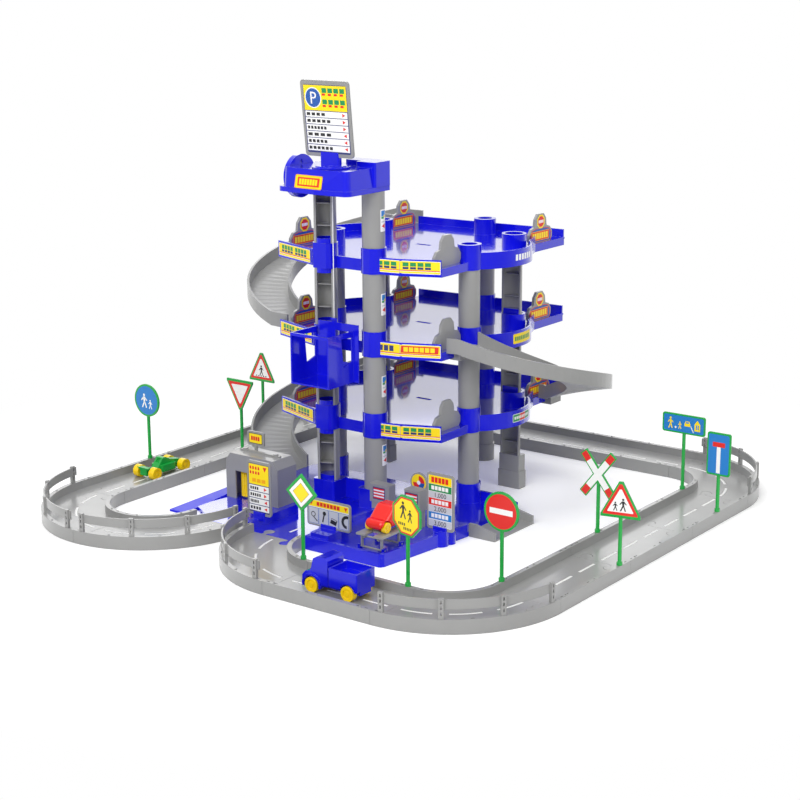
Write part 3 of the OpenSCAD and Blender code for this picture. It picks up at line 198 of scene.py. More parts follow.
# %% Soft boxes
def soft_box(name, place, target, size, watts):
    data = bpy.data.lights.new(name, "AREA")
    data.shape, data.size, data.size_y, data.energy = "RECTANGLE", size[0], size[1], watts
    lamp = bpy.data.objects.new(name, data)
    lamp.location = place
    lamp.rotation_mode = "QUATERNION"
    lamp.rotation_quaternion = (Vector(target) - Vector(place)).to_track_quat("-Z", "Y")
    bpy.context.collection.objects.link(lamp)
    lamp.visible_camera = False
    return lamp

soft_box("key_box", (0.6, -3.2, 2.2), (0, 0, 0.2), (2.4, 1.8), 84)
soft_box("side_box", (3.2, -0.6, 1.9), (0, 0, 0.2), (1.8, 1.6), 34)
soft_box("top_box", (-0.4, 0.2, 3.2), (0, 0, 0), (2.6, 2.6), 50)
soft_box("back_box", (-2.2, 2.6, 1.9), (0, 0, 0.3), (2.6, 1.6), 20)

# %% [markdown]
# Nearly all of the toy is injection-moulded polypropylene. A polished mould leaves it glossy with
# faint flow marks a few centimetres long, and a fine grain that scatters the reflection. Its outer
# edges carry a radius under a millimetre, which catches a thin line of light: the Bevel node
# shades that line without touching the CAD mesh. The grey parts come from a duller mould.

# %% Moulded plastic
PLASTIC_IOR = 1.49
FLOW_MM = 45            # size of the flow marks
SLANT_POWER = 3.2       # how fast the mirror-like sheen grows towards a grazing view

def moulded(name, hex_colour, roughness, grain_mm, grain_depth_mm,
            flow=0.04, gloss=0.5, edge_mm=0.8, mirror=0.0):
    material, tree = new_material(name)
    where = add(tree, "ShaderNodeTexCoord").outputs["Object"]
    grain = add(tree, "ShaderNodeTexNoise",
                {"Vector": where, "Scale": 1000 / grain_mm, "Detail": 3.0})
    swirl = add(tree, "ShaderNodeTexNoise",
                {"Vector": where, "Scale": 1000 / FLOW_MM, "Detail": 2.0, "Distortion": 0.6})
    rough = add(tree, "ShaderNodeMapRange", {
        "Value": swirl.outputs["Fac"], "From Min": 0.3, "From Max": 0.7,
        "To Min": roughness * 0.86, "To Max": roughness * 1.16})
    base = linear(hex_colour)
    pale = tuple(min(1.0, c * (1 + flow) + 0.004) for c in base[:3]) + (1.0,)
    deep = tuple(c * (1 - flow) for c in base[:3]) + (1.0,)
    colour = add(tree, "ShaderNodeMix", {0: swirl.outputs["Fac"], 6: deep, 7: pale},
                 data_type="RGBA")
    edge = add(tree, "ShaderNodeBevel", {"Radius": edge_mm * MM}, samples=4)
    bump = add(tree, "ShaderNodeBump", {
        "Height": grain.outputs["Fac"], "Strength": 0.5,
        "Distance": grain_depth_mm * MM, "Normal": edge.outputs[0]})
    skin = add(tree, "ShaderNodeBsdfPrincipled", {
        "Base Color": colour.outputs[2], "Roughness": rough.outputs["Result"],
        "Normal": bump.outputs[0], "IOR": PLASTIC_IOR, "Specular IOR Level": gloss})
    if mirror:
        slant = add(tree, "ShaderNodeLayerWeight", {"Blend": 0.5})
        share = add(tree, "ShaderNodeMath", {0: slant.outputs["Facing"], 1: SLANT_POWER},
                    operation="POWER")
        share = add(tree, "ShaderNodeMath", {0: share.outputs[0], 1: mirror},
                    operation="MULTIPLY")
        sheen = add(tree, "ShaderNodeBsdfGlossy", {
            "Color": (1, 1, 1, 1), "Roughness": max(0.06, roughness * 0.45),
            "Normal": edge.outputs[0]})
        skin = add(tree, "ShaderNodeMixShader",
                   {0: share.outputs[0], 1: skin.outputs[0], 2: sheen.outputs[0]})
    add(tree, "ShaderNodeOutputMaterial", {"Surface": skin.outputs[0]})
    return material

# %% The finishes of the toy
# Grey: neutral, from a blasted mould, so its shine is broad. Blue: deep ultramarine from a
# polished mould. The driveway of the car wash is satin, which spreads the shine, so its blue
# stays full.
grey = moulded("blasted_grey_polypropylene", "#8f8f8e", 0.42, 0.9, 0.05,
               flow=0.05, gloss=0.45, mirror=0.5)
blue = moulded("polished_ultramarine_polypropylene", "#0b10cf", 0.14, 2.2, 0.012,
               flow=0.06, gloss=0.22, mirror=0.88)
driveway_blue = moulded("satin_ultramarine_polypropylene", "#0b10cf", 0.34, 2.2, 0.02,
                        flow=0.06, gloss=0.3)
yellow = moulded("polished_yellow_polypropylene", "#ffd400", 0.26, 1.6, 0.02, flow=0.03)
green = moulded("polished_green_polypropylene", "#12a03e", 0.26, 1.6, 0.02, flow=0.04)
red = moulded("polished_red_polypropylene", "#e5170c", 0.24, 1.6, 0.02, flow=0.04)
BY_SLOT = {"grey_plastic": grey, "blue_plastic": blue, "yellow_plastic": yellow,
           "green_plastic": green, "red_plastic": red}

def slot_of(node_name):
    for part in frame["record"]["subparts"]:
        if part["node"] == node_name:
            return part["material_slot"]

for name, node in NODES.items():
    finish = driveway_blue if name == "wash_ramp" else BY_SLOT.get(slot_of(name))
    if finish:
        for i in range(len(node.material_slots)):
            node.material_slots[i].material = finish
print("finishes set on", len(NODES), "nodes")

# %% [markdown]
# The labels are thin vinyl film, printed and punched to shape. Each one is built from flat
# outlines in label millimetres (u to the right, v upwards), given a closed edge a few hundredths
# of a millimetre high, and laid on the surface that a ray finds on the CAD mesh, so it always
# touches what carries it. All pictures are plain bars, arrows, figures and road pictograms.

# %% Film colours
FILM_IOR = 1.5
DOT_MM = 0.7            # pitch of the printed dots, drawn coarse enough to show

def film(name, hex_colour):
    material, tree = new_material(name)
    where = add(tree, "ShaderNodeTexCoord").outputs["Object"]
    dots = add(tree, "ShaderNodeTexVoronoi", {"Vector": where, "Scale": 1000 / DOT_MM})
    orange = add(tree, "ShaderNodeTexNoise",
                 {"Vector": where, "Scale": 1000 / 6.0, "Detail": 2.0})
    base = linear(hex_colour)
    worn = tuple(c * 0.93 for c in base[:3]) + (1.0,)
    fade = add(tree, "ShaderNodeMapRange", {
        "Value": dots.outputs["Distance"], "From Max": 0.8, "To Min": 0.0, "To Max": 0.7})
    ink = add(tree, "ShaderNodeMix", {0: fade.outputs["Result"], 6: base, 7: worn},
              data_type="RGBA")
    bump = add(tree, "ShaderNodeBump",
               {"Height": orange.outputs["Fac"], "Strength": 0.3, "Distance": 0.02 * MM})
    skin = add(tree, "ShaderNodeBsdfPrincipled", {
        "Base Color": ink.outputs[2], "Roughness": 0.34,
        "Normal": bump.outputs[0], "IOR": FILM_IOR})
    add(tree, "ShaderNodeOutputMaterial", {"Surface": skin.outputs[0]})
    return material

INK = {"white": film("printed_white_vinyl", "#f5f5f3"),
       "yellow": film("printed_yellow_vinyl", "#ffe000"),
       "blue": film("printed_blue_vinyl", "#1f57a8"),
       "red": film("printed_red_vinyl", "#e02018"),
       "green": film("printed_green_vinyl", "#0a8f4e"),
       "black": film("printed_black_vinyl", "#1b1b1f"),
       "navy": film("printed_navy_vinyl", "#26306e"),
       "silver": film("printed_silver_grey_vinyl", "#c9ccd2"),
       "orange": film("printed_orange_vinyl", "#f5a800"),
       "cyan": film("printed_sky_blue_vinyl", "#1f7cc8")}

# %% Outlines in label millimetres
def bar(u0, v0, u1, v1):
    return [(u0, v0), (u1, v0), (u1, v1), (u0, v1)]

def dot(u, v, r, n=28, start=0.0):
    turns = [start + 2 * math.pi * i / n for i in range(n)]
    return [(u + r * math.cos(t), v + r * math.sin(t)) for t in turns]

def soft(u0, v0, u1, v1, r=2.0, n=5):
    """A rectangle with rounded corners of radius r, each of n steps."""
    points = []
    for cu, cv, a in ((u1 - r, v0 + r, -90), (u1 - r, v1 - r, 0),
                      (u0 + r, v1 - r, 90), (u0 + r, v0 + r, 180)):
        turns = [math.radians(a + 90 * i / n) for i in range(n + 1)]
        points += [(cu + r * math.cos(t), cv + r * math.sin(t)) for t in turns]
    return points

def arrow(u, v, size, turn):
    """A filled triangle that points right, turned about its middle by a whole number of degrees."""
    c, s = math.cos(math.radians(turn)), math.sin(math.radians(turn))
    flat = ((-0.5, -0.5), (0.5, 0), (-0.5, 0.5))
    return [(u + size * (c * a - s * b), v + size * (s * a + c * b)) for a, b in flat]

def moved(outline, du, dv, scale=1.0, turn=0):
    c, s = math.cos(math.radians(turn)) * scale, math.sin(math.radians(turn)) * scale
    return [(du + c * u - s * v, dv + s * u + c * v) for u, v in outline]

def walker(u, v, h):
    """A plain pictogram figure of height h with its feet at (u, v)."""
    head = dot(0, 9.1, 0.95, 12)
    trunk = [(-1.0, 7.9), (-0.5, 4.2), (0.9, 4.2), (1.1, 7.9)]
    legs = [[(-0.5, 4.4), (-2.4, 0), (-1.3, 0), (0.5, 4.0)],
            [(0.0, 4.2), (1.5, 0), (2.5, 0.2), (0.9, 4.4)]]
    arms = [[(-0.9, 7.8), (-2.9, 5.4), (-2.3, 4.9), (-0.6, 6.6)],
            [(0.9, 7.8), (0.8, 6.6), (2.3, 5.0), (2.9, 5.5)]]
    return [moved(part, u, v, h / 10) for part in (head, trunk, *legs, *arms)]

# %% Numbers as outlines
FIGURE_RISE = 0.69      # height of a figure of the built-in font at size 1

def number(text, u, v, height):
    """Generic figures, as closed outlines of the built-in font, centred on (u, v)."""
    curve = bpy.data.curves.new("figures", "FONT")
    curve.body, curve.align_x, curve.resolution_u = text, "CENTER", 3
    holder = bpy.data.objects.new("figures", curve)
    bpy.context.collection.objects.link(holder)
    view = holder.evaluated_get(bpy.context.evaluated_depsgraph_get())
    mesh = bpy.data.meshes.new_from_object(view)
    k = height / FIGURE_RISE
    verts = [(u + p.co.x * k, v + (p.co.y - FIGURE_RISE / 2) * k) for p in mesh.vertices]
    faces = [tuple(f.vertices) for f in mesh.polygons]
    bpy.data.objects.remove(holder)
    bpy.data.curves.remove(curve)
    bpy.data.meshes.remove(mesh)
    return ("faces", verts, faces)

# %% Surfaces that labels lie on
from mathutils.bvhtree import BVHTree

TREES = {}

def hit(node, start_mm, direction):
    """Where a ray first meets a node, with the normal that faces back along the ray."""
    if node not in TREES:
        view = bpy.context.evaluated_depsgraph_get()
        TREES[node] = BVHTree.FromObject(NODES[node], view)
    start, way = Vector(start_mm) * MM, Vector(direction).normalized()
    place, normal, _, _ = TREES[node].ray_cast(start, way)
    if place is None:
        raise ValueError("no surface of " + node + " is met from " + str(tuple(start_mm)))
    if normal.dot(Vector(direction)) > 0:
        normal = -normal
    return place, normal

def on(node, start_mm, direction, up=(0, 0, 1)):
    """The flat face of a node that a ray meets, as a map from label millimetres to space."""
    origin, normal = hit(node, start_mm, direction)
    right = Vector(up).cross(normal).normalized()
    rise = normal.cross(right)
    return lambda u, v, h: origin + (right * u + rise * v + normal * h) * MM

def around(cx, cy, r, middle_deg, z):
    """The outside of an upright cylinder; u runs counterclockwise from the middle angle."""
    def place(u, v, h):
        a = math.radians(middle_deg) + u / r
        return Vector((cx + (r + h) * math.cos(a), cy + (r + h) * math.sin(a), z + v)) * MM
    return place

def along(points, z):
    """The outside of a bent wall, seen from its right-hand side; u is the way along it."""
    legs = [(Vector(a), Vector(b)) for a, b in zip(points, points[1:])]
    def place(u, v, h):
        for i, (a, b) in enumerate(legs):
            length = (b - a).length
            if u <= length or i == len(legs) - 1:
                way = (b - a) / length
                side = Vector((way.y, -way.x))
                p = a + way * u + side * h
                return Vector((p.x, p.y, z + v)) * MM
            u -= length
    return place

# %% Build one label
FILM_LOW, FILM_HIGH, FILM_STEP = 0.02, 0.10, 0.06    # mm above the carrier, and per layer
def film_slab(target, index, shape, low, high, cuts):
    """Adds one closed slab of film between two heights to the bmesh, still in (u, v, h)."""
    flat = bmesh.new()
    if shape[0] == "faces":
        corners = [flat.verts.new((u, v, 0)) for u, v in shape[1]]
        for face in shape[2]:
            flat.faces.new([corners[i] for i in face])
    else:
        flat.faces.new([flat.verts.new((u, v, 0)) for u, v in shape])
    bmesh.ops.remove_doubles(flat, verts=flat.verts, dist=1e-4)
    bmesh.ops.triangulate(flat, faces=flat.faces[:])
    for cut in cuts:
        everything = flat.verts[:] + flat.edges[:] + flat.faces[:]
        bmesh.ops.bisect_plane(flat, geom=everything, plane_co=(cut, 0, 0),
                               plane_no=(1, 0, 0), dist=1e-4)
    bmesh.ops.triangulate(flat, faces=flat.faces[:])
    flat.normal_update()
    top = {v: target.verts.new((v.co.x, v.co.y, high)) for v in flat.verts}
    under = {v: target.verts.new((v.co.x, v.co.y, low)) for v in flat.verts}
    for face in flat.faces:
        loop = list(face.verts) if face.normal.z > 0 else list(reversed(face.verts))
        target.faces.new([top[v] for v in loop]).material_index = index
        target.faces.new([under[v] for v in reversed(loop)]).material_index = index
        for a, b in zip(loop, loop[1:] + loop[:1]):
            if len(flat.edges.get((a, b)).link_faces) == 1:
                target.faces.new([top[b], top[a], under[a], under[b]]).material_index = index
    flat.free()

def label(name, body, jobs, step=None):
    """jobs: (place, [(ink, outline, layer), ...]). Makes one mesh that rides on the body.
    With a step, outlines are cut every so many millimetres, so that they can bend."""
    mesh = bpy.data.meshes.new(name)
    inks, built = [], bmesh.new()
    for place, shapes in jobs:
        part = bmesh.new()
        for ink, shape, layer in shapes:
            if ink not in inks:
                inks.append(ink)
            spots = shape[1] if shape[0] == "faces" else shape
            us = [u for u, _ in spots]
            cuts = []
            if step:
                first, last = math.ceil(min(us) / step), math.floor(max(us) / step)
                cuts = [k * step for k in range(first, last + 1)]
            film_slab(part, inks.index(ink), shape, FILM_LOW + FILM_STEP * layer,
                      FILM_HIGH + FILM_STEP * layer, cuts)
        for vert in part.verts:
            vert.co = place(*vert.co)
        held = bpy.data.meshes.new("held")
        part.to_mesh(held)
        built.from_mesh(held)
        bpy.data.meshes.remove(held)
        part.free()
    built.to_mesh(mesh)
    built.free()
    for ink in inks:
        mesh.materials.append(INK[ink])
    piece = bpy.data.objects.new(name, mesh)
    bpy.context.collection.objects.link(piece)
    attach(piece, body)
    print(name, len(mesh.polygons), "faces")
    return piece

def marks(u0, v0, u1, v1, n, ink, layer=1, gap=0.2):
    """n plain upright bars that stand in for words."""
    pitch = (u1 - u0) / n
    return [(ink, bar(u0 + i * pitch, v0, u0 + (i + 1 - gap) * pitch, v1), layer)
            for i in range(n)]

# %% [markdown]
# The long labels on the deck fronts are yellow with blue and green marks over a red and white
# rule. They bend round the corner of the fascia, so their outlines are cut every few millimetres
# before they are laid along it.

# %% Deck front labels
DECK_Z = (146, 284, 422)
DECK_NAMES = ("lower", "middle", "upper")
FRONT_RUN = [(-20, -93), (45, -80), (110, -53)]
WING_RUN = [(-237, -48.5), (-200, -61.5), (-134, -83.5)]

def front_label(u0, u1, low, high, slanted=False):
    middle, span = (u0 + u1) / 2, (u1 - u0)
    shapes = [("white", soft(u0, low, u1, high, 1.5), 0),
              ("yellow", soft(u0 + 0.8, low + 0.8, u1 - 0.8, high - 0.8, 1.2), 1),
              ("red", bar(u0 + 1, low + 4.6, u1 - 1, low + 6.0), 2),
              ("white", bar(u0 + 1, low + 3.8, u1 - 1, low + 4.6), 2)]
    if slanted:
        shapes += marks(u0 + span * 0.06, low + 8, u0 + span * 0.42, high - 3.5, 5, "navy", 2)
        a = u0 + span * 0.5
        field = [(a, low + 7), (u1 - 4, low + 7), (u1 - 3, high - 2.5), (a + 1, high - 2.5)]
        shapes.append(("red", field, 2))
        shapes += marks(a + 5, low + 9, u1 - 8, high - 4.5, 6, "yellow", 3)
    else:
        for a, b in ((middle - span * 0.4, middle - span * 0.03),
                     (middle + span * 0.03, middle + span * 0.4)):
            shapes += marks(a, low + 12, b, high - 2.6, 4, "green", 2)
            shapes += marks(a, low + 7.2, b, low + 11, 4, "navy", 2)
    return shapes

for k, z in enumerate(DECK_Z):
    front, wing = along(FRONT_RUN, z), along(WING_RUN, z)
    label("front_label_" + DECK_NAMES[k], "garage",
          [(front, front_label(1, 135, -9.5, 11.5, slanted=k == 1))], step=6)
    label("wing_label_" + DECK_NAMES[k], "garage",
          [(wing, front_label(2, 103, -10.5, 11.0))], step=6)

# %% Balcony labels, on the bulge at the right
BULGE_MIDDLE, BULGE_R, BULGE_TURN = (47, 121), 105, 3

def balcony(k):
    if k == 2:
        return marks(-24, -4.5, 24, 5.5, 6, "white", 0, 0.3)
    if k == 1:
        return [("yellow", soft(-28, -8, 28, 9), 0), *marks(-24, -3, 24, 4, 9, "green", 1, 0.3)]
    return [("white", soft(-27, -6.5, 27, 7.5), 0), ("green", bar(-26, -5.5, -9, 6.5), 1),
            ("red", bar(-8.4, -5.5, 8.4, 6.5), 1), ("green", bar(9, -5.5, 26, 6.5), 1),
            *marks(-23, -2, 23, 3, 9, "white", 2, 0.3)]

for k, z in enumerate(DECK_Z):
    label("balcony_label_%d" % (k + 1), "garage",
          [(around(*BULGE_MIDDLE, BULGE_R, BULGE_TURN, z), balcony(k))], step=5)

# %% Exit board labels
BOARDS = ((93.5, 265, 1), (-203.5, 265, 1), (-223.5, 3, 1), (95, -18, -1))
RAY_START = 12          # mm in front of a board's face
RAY_RISE = 10           # mm above the deck

def exit_label():
    """The film of a board, with v measured from the deck."""
    blue_field = [(-33, 1), (33, 1), (34.5, 14), (28, 22.5),
                  (16, 25), (-16, 25), (-28, 22.5), (-34.5, 14)]
    red_line = [(u * 0.95, 0.6 + v * 0.94) for u, v in blue_field]
    eighth = math.pi / 8
    return [("red", blue_field, 0), ("blue", red_line, 1), ("orange", bar(-31, 3.5, 27, 20), 2),
            ("red", bar(-30, 4.5, 26, 19), 3), *marks(-27, 6.5, 24, 17, 7, "yellow", 4),
            ("yellow", dot(0, 36.2, 12.8, 8, eighth), 2), ("red", dot(0, 36.2, 9.9, 8, eighth), 3),
            *marks(-7.5, 33.6, 8.5, 38.8, 4, "white", 4)]

def lowered(shapes, dv):
    return [(ink, [(u, v - dv) for u, v in shape], layer) for ink, shape, layer in shapes]

jobs = []
for z in DECK_Z:
    for x, y, side in BOARDS:
        start = (x + side * RAY_START, y, z + RAY_RISE)
        jobs.append((on("exit_boards", start, (-side, 0, 0)), lowered(exit_label(), RAY_RISE)))
label("exit_board_labels", "garage", jobs)

# %% Column labels, one on each storey of the right lift column
column = [("white", soft(-7, -17, 7, 19, 1.5), 0), ("cyan", bar(-5, 8, 5, 17), 1),
          ("yellow", bar(1, 6, 5, 10), 2), ("green", bar(-5, 4, 1, 7.5), 1),
          ("red", arrow(0, -8, 9, 180), 1), ("silver", bar(-5, -2, 5, 0), 1)]
label("column_labels", "garage",
      [(around(-8, -78, 19, 5, z), column) for z in (100, 218, 356, 494)], step=3)

# %% Lift head label
head = [("orange", soft(-28.5, -11, 28.5, 11, 2.5), 0),
        ("yellow", soft(-27, -9.5, 27, 9.5, 2), 1),
        ("orange", soft(-23.5, -7.6, 23.5, 7.6, 1), 2),
        ("red", soft(-22.5, -6.8, 22.5, 6.8, 0.8), 3),
        *marks(-19.5, -4.6, 19.5, 4.6, 7, "yellow", 4)]
label("head_label", "garage", [(on("lift_head", (-70, -220, 560.5), (0, 1, 0)), head)])

# %% [markdown]
# The upright signs are plates pushed into slots. Their faces carry one large film each: a band of
# colour, rows of plain marks, and red arrows. Prices are generic figures.

# %% Rows shared by the large signs
def rows(u0, u1, v1, height, turns, gap=1.2):
    """White rows with small dark marks at the left and one red arrow at the right."""
    shapes = []
    for i, turn in enumerate(turns):
        top = v1 - i * (height + gap)
        shapes.append(("white", bar(u0, top - height, u1, top), 2))
        end = u0 + (u1 - u0) * (0.5 + 0.12 * (i % 2))
        shapes += marks(u0 + 2.5, top - height * 0.75, end, top - height * 0.25,
                        4 + i % 3, "black", 3, 0.3)
        shapes.append(("red", arrow(u1 - height * 0.75, top - height / 2, height * 0.62, turn), 3))
    return shapes

# %% Billboard on the roof
board = on("billboard", (-52, -260, 660), (0, 1, 0))
shapes = [("navy", soft(-44, -56, 44, 53, 3), 0), ("yellow", bar(-43, 12, 43, 52), 1),
          ("white", dot(-24.5, 32, 16.5), 2), ("blue", dot(-24.5, 32, 15), 3),
          ("white", number("P", -24.5, 32, 19), 4)]
for top in (48, 30):
    shapes += marks(-6, top - 7.5, 42, top, 4, "green", 2)
    shapes += marks(-6, top - 12, 42, top - 8.5, 4, "red", 2, 0.45)
shapes += rows(-42.5, 42.5, 10.8, 9.6, (0, 0, 0, 180, 180, 180))
label("billboard_label", "turning_sign", [(board, shapes)])

# %% Wash and price signs on the base
wash = [("navy", soft(-22, -41, 22, 41, 2), 0), ("yellow", bar(-21, 6, 21, 40), 1),
        ("red", arrow(13, 33, 8, -90), 2), *marks(-19, 31, 4, 36, 4, "red", 2, 0.4),
        *marks(-19, 23, 4, 28, 4, "red", 2, 0.4), *marks(-14, 10, 16, 16, 3, "orange", 2),
        *rows(-21, 21, 4.6, 9.8, (0, 0, 180, 180), 1.3)]
label("wash_label", "garage", [(on("wash_sign", (-94, -320, 73.5), (0, 1, 0)), wash)])

PRICE_BANDS = ((42, 14, "yellow"), (27.5, 11.5, "green"), (4.5, 11.5, "red"), (-18.5, 11.5, "cyan"))
PRICES = (("1,000", 10.3), ("2,000", -12.7), ("3,000", -36.2))

price = [("white", soft(-22.5, -42, 22.5, 42, 2), 0)]
for top, height, ink in PRICE_BANDS:
    price.append((ink, bar(-22, top - height, 22, top), 1))
    text_ink = "red" if ink == "yellow" else "white"
    price += marks(-17, top - height + 2.5, 17, top - 2.5, 5, text_ink, 2)
for text, v in PRICES:
    price += [("silver", bar(-22, v - 5.2, 22, v + 5.2), 1), ("black", number(text, 0, v, 7.5), 2)]
label("price_label", "garage", [(on("price_sign", (183, -240, 72), (0, 1, 0)), price)])

# %% Service sign: four fields with a key ring, a spanner, a can and a tyre
def spanner(u, v, k, turn=-14):
    return [moved(bar(-1.2, -8, 1.2, 5), u, v, k, turn), moved(dot(0, 6, 3.2, 10), u, v, k, turn)]

def tyre(u, v, r, bore=0.55):
    outer = [math.radians(70 + 22 * i) for i in range(10)]
    inner = [math.radians(268 - 22 * i) for i in range(10)]
    return [[(u + r * math.cos(a), v + r * math.sin(a)) for a in outer]
            + [(u + r * bore * math.cos(a), v + r * bore * math.sin(a)) for a in inner]]

service = [("white", soft(-41, -20, 41, 20, 2), 0), ("yellow", bar(-40.5, 9, 40.5, 19.5), 1),
           ("red", arrow(35, 14, 6.5, -90), 2), ("red", arrow(-35, 14, 6.5, -90), 2),
           *marks(-24, 11, 24, 17.5, 7, "red", 2)]
for i in range(4):
    u = -30.6 + 20.4 * i
    service += [("blue", bar(u - 10, -19.5, u + 10, 7.6), 1),
                ("silver", bar(u - 9.2, -18.8, u + 9.2, 6.9), 2)]
service += [("black", dot(-31, -4, 4.6, 14), 3), ("silver", dot(-31, -4, 3.2, 14), 4),
            ("black", moved(bar(-0.9, -6, 0.9, 5), -27.5, -11, 1, 50), 3)]
service += [("black", p, 3) for p in spanner(-10, -6, 1.1)]
service += [("black", [(3, -13), (15, -16), (18, -7), (6, -4)], 3),
            ("silver", [(5.5, -6.5), (15.5, -9), (16.2, -7.4), (6.6, -5)], 4)]
service += [("black", p, 3) for p in tyre(37, -6, 11)]
label("service_label", "garage",
      [(on("service_sign", (40, -320, 50), (0, 1, 0)), lowered(service, -1))])

# %% Roof plate, fuel pumps and the round board
plate = [("black", soft(-15, -9, 15, 9, 1.5), 0), ("yellow", soft(-14, -8, 14, 8, 1), 1),
         *marks(-10, -3.6, 10, 3.6, 4, "red", 2)]
pump = [("navy", soft(-12.5, -10.5, 12.5, 10.5, 1), 0)]
for i in range(7):
    pump.append(("white" if i % 2 else "red",
                 bar(-11, -9 + 2.571 * i, 11, -6.429 + 2.571 * i), 1))
rim = dot(0, 0, 11.5, 36)
ring = [("yellow", dot(0, 0, 14.5), 0), ("red", dot(0, 0, 11.5), 1),
        ("blue", [(0, 0)] + rim[27:36] + [(11.5, 0)], 2),
        ("yellow", [(0, 0)] + rim[9:18] + [(-11.5, 0)], 2), ("white", dot(0, 0, 3.5, 16), 3)]
label("small_labels", "garage", [
    (on("roof_plate", (-214, -200, 108.5), (0, 1, 0)), plate),
    (on("fuel_pumps", (33, -220, 49), (0, 1, 0)), pump),
    (on("fuel_pumps", (121, -220, 63), (0, 1, 0)), pump),
    (on("fuel_pumps", (100, -220, 75), (0, 1, 0)), ring)])

# %% [markdown]
# The traffic signs are green plates with printed faces that leave a narrow green rim. Every one is
# a usual road pictogram, drawn here as polygons: bars, a prohibition disc, triangles and walkers.

# %% Faces of the traffic signs
def scaled(outline, ku, kv, dv=0):
    return [(u * ku, v * kv + dv) for u, v in outline]

def inked(ink, outlines, layer):
    return [(ink, outline, layer) for outline in outlines]

def face_wide():
    house = [(23, -9), (35, -9), (35, 3), (29, 10), (23, 3)]
    car = [(2, 1), (4, 6), (12, 6), (14, 1), (14, -3), (2, -3)]
    hose = [(14, -2), (16, -2), (22, -12), (20.6, -12.6)]
    face = [("cyan", soft(-42, -14, 42, 14, 3), 0), ("yellow", house, 1),
            ("cyan", bar(26, -6, 32, 2), 2), ("yellow", bar(28.3, -6, 29.7, 2), 3),
            ("yellow", car, 1), ("cyan", bar(5, 2.2, 11, 4.6), 2), ("white", hose, 1),
            ("white", dot(-17, -7, 2, 12), 1),
            *inked("yellow", walker(-28, -10, 20) + walker(-8, -9, 13), 1)]
    return [(ink, scaled(shape, 0.89, 1), layer) for ink, shape, layer in face]

def face_tall():
    return [("cyan", soft(-18.4, -33, 18.4, 33, 3), 0), ("white", bar(-3.4, -32, 3.4, 12), 1),
            ("red", bar(-11, 12, 11, 20), 1)]

def face_disc_no_entry():
    return [("red", dot(0, 0, 26.5, 40), 0), ("white", bar(-20, -4.2, 20, 4.2), 1)]

def face_disc_walkers():
    return [("cyan", dot(0, 0, 26.5, 40), 0),
            *inked("white", walker(-6, -14, 26) + walker(9, -15, 17), 1)]

def triangle(w):
    return [(-w, -w * 0.88), (w, -w * 0.88), (w, -w * 0.8),
            (w * 0.08, w * 0.9), (-w * 0.08, w * 0.9), (-w, -w * 0.8)]

def warning():
    """The red triangle with its white field, which two of the signs share."""
    return [("red", triangle(27), 0), ("white", scaled(triangle(27), 0.74, 0.74, -1.8), 1)]

def face_children():
    return warning() + inked("black", walker(4, -17.5, 20) + walker(-8, -17.5, 14), 2)

def face_crossing():
    stripes = [bar(-14 + 6 * i, -18.5, -11 + 6 * i, -16.5) for i in range(5)]
    return warning() + inked("black", stripes + walker(0, -16.5, 20), 2)

def face_yield():
    flip = scaled(triangle(27), -1, -1)
    return [("red", flip, 0), ("white", scaled(flip, 0.72, 0.72, 1.8), 1)]

def face_diamond():
    square = [(0, 26.5), (-26.5, 0), (0, -26.5), (26.5, 0)]
    inks = (("black", 0.9), ("white", 0.87), ("black", 0.6), ("yellow", 0.57))
    return [(ink, scaled(square, k, k), layer) for layer, (ink, k) in enumerate(inks)]

def face_octagon():
    eight = dot(0, 0, 29.5, 8, math.pi / 8)
    return [("red", eight, 0), ("yellow", scaled(eight, 0.92, 0.92), 1),
            *inked("black", walker(-7, -5, 26) + walker(8, -8, 19), 2),
            *marks(-17, -15, -1, -11, 4, "black", 2, 0.4),
            *marks(-6, -21, 12, -17, 5, "black", 2, 0.4)]

def face_cross():
    shapes = []
    for layer, turn in enumerate((38, -38)):
        shapes.append(("white", moved(bar(-5.4, -42, 5.4, 42), 0, 0, 1, turn), layer))
        shapes += inked("red", [moved(bar(-5.4, a, 5.4, a + 15), 0, 0, 1, turn)
                                for a in (-42, 27)], 2)
    return shapes

# %% Lay the faces on their plates
SIGN_Z = 22 + 103       # top of a kerb and height of a plate's middle above it
# Place of a sign, height of its face from SIGN_Z, turn of its plate and its face
FRONT_SIGNS = ((286.5, -385, 4, -12, face_octagon()), (385, -288, 4, 0, face_disc_no_entry()),
               (385, -13, -7, 0, face_cross()), (490, -126.5, 0, 12, face_children()),
               (490, 193.5, -5, 0, face_tall()), (88.17, -384.17, 3, 0, face_diamond()))
BACK_SIGNS = ((-490, -126.5, 6, 0, face_disc_walkers()), (-385, 8, 4, 0, face_yield()),
              (-490, 188, 7, 0, face_crossing()), (385, 271, 12, 0, face_wide()))

def plate_face(node, x, y, z, turn_deg):
    a = math.radians(turn_deg)
    look = Vector((-math.sin(a), math.cos(a), 0))
    return on(node, Vector((x, y, z)) - look * 40, look)

for side, signs in (("front", FRONT_SIGNS), ("back", BACK_SIGNS)):
    label("sign_faces_" + side, "garage",
          [(plate_face("traffic_signs_" + side, x, y, SIGN_Z + dz, turn), face)
           for x, y, dz, turn, face in signs])

# %% [markdown]
# Lane dashes are white ink, three to a road piece, and they follow the curve of the road. Here a
# node tree does it: every road piece is one spline, the spline is cut into 72 steps, the steps
# between dashes are deleted, and a thin rectangle is swept along what is left.

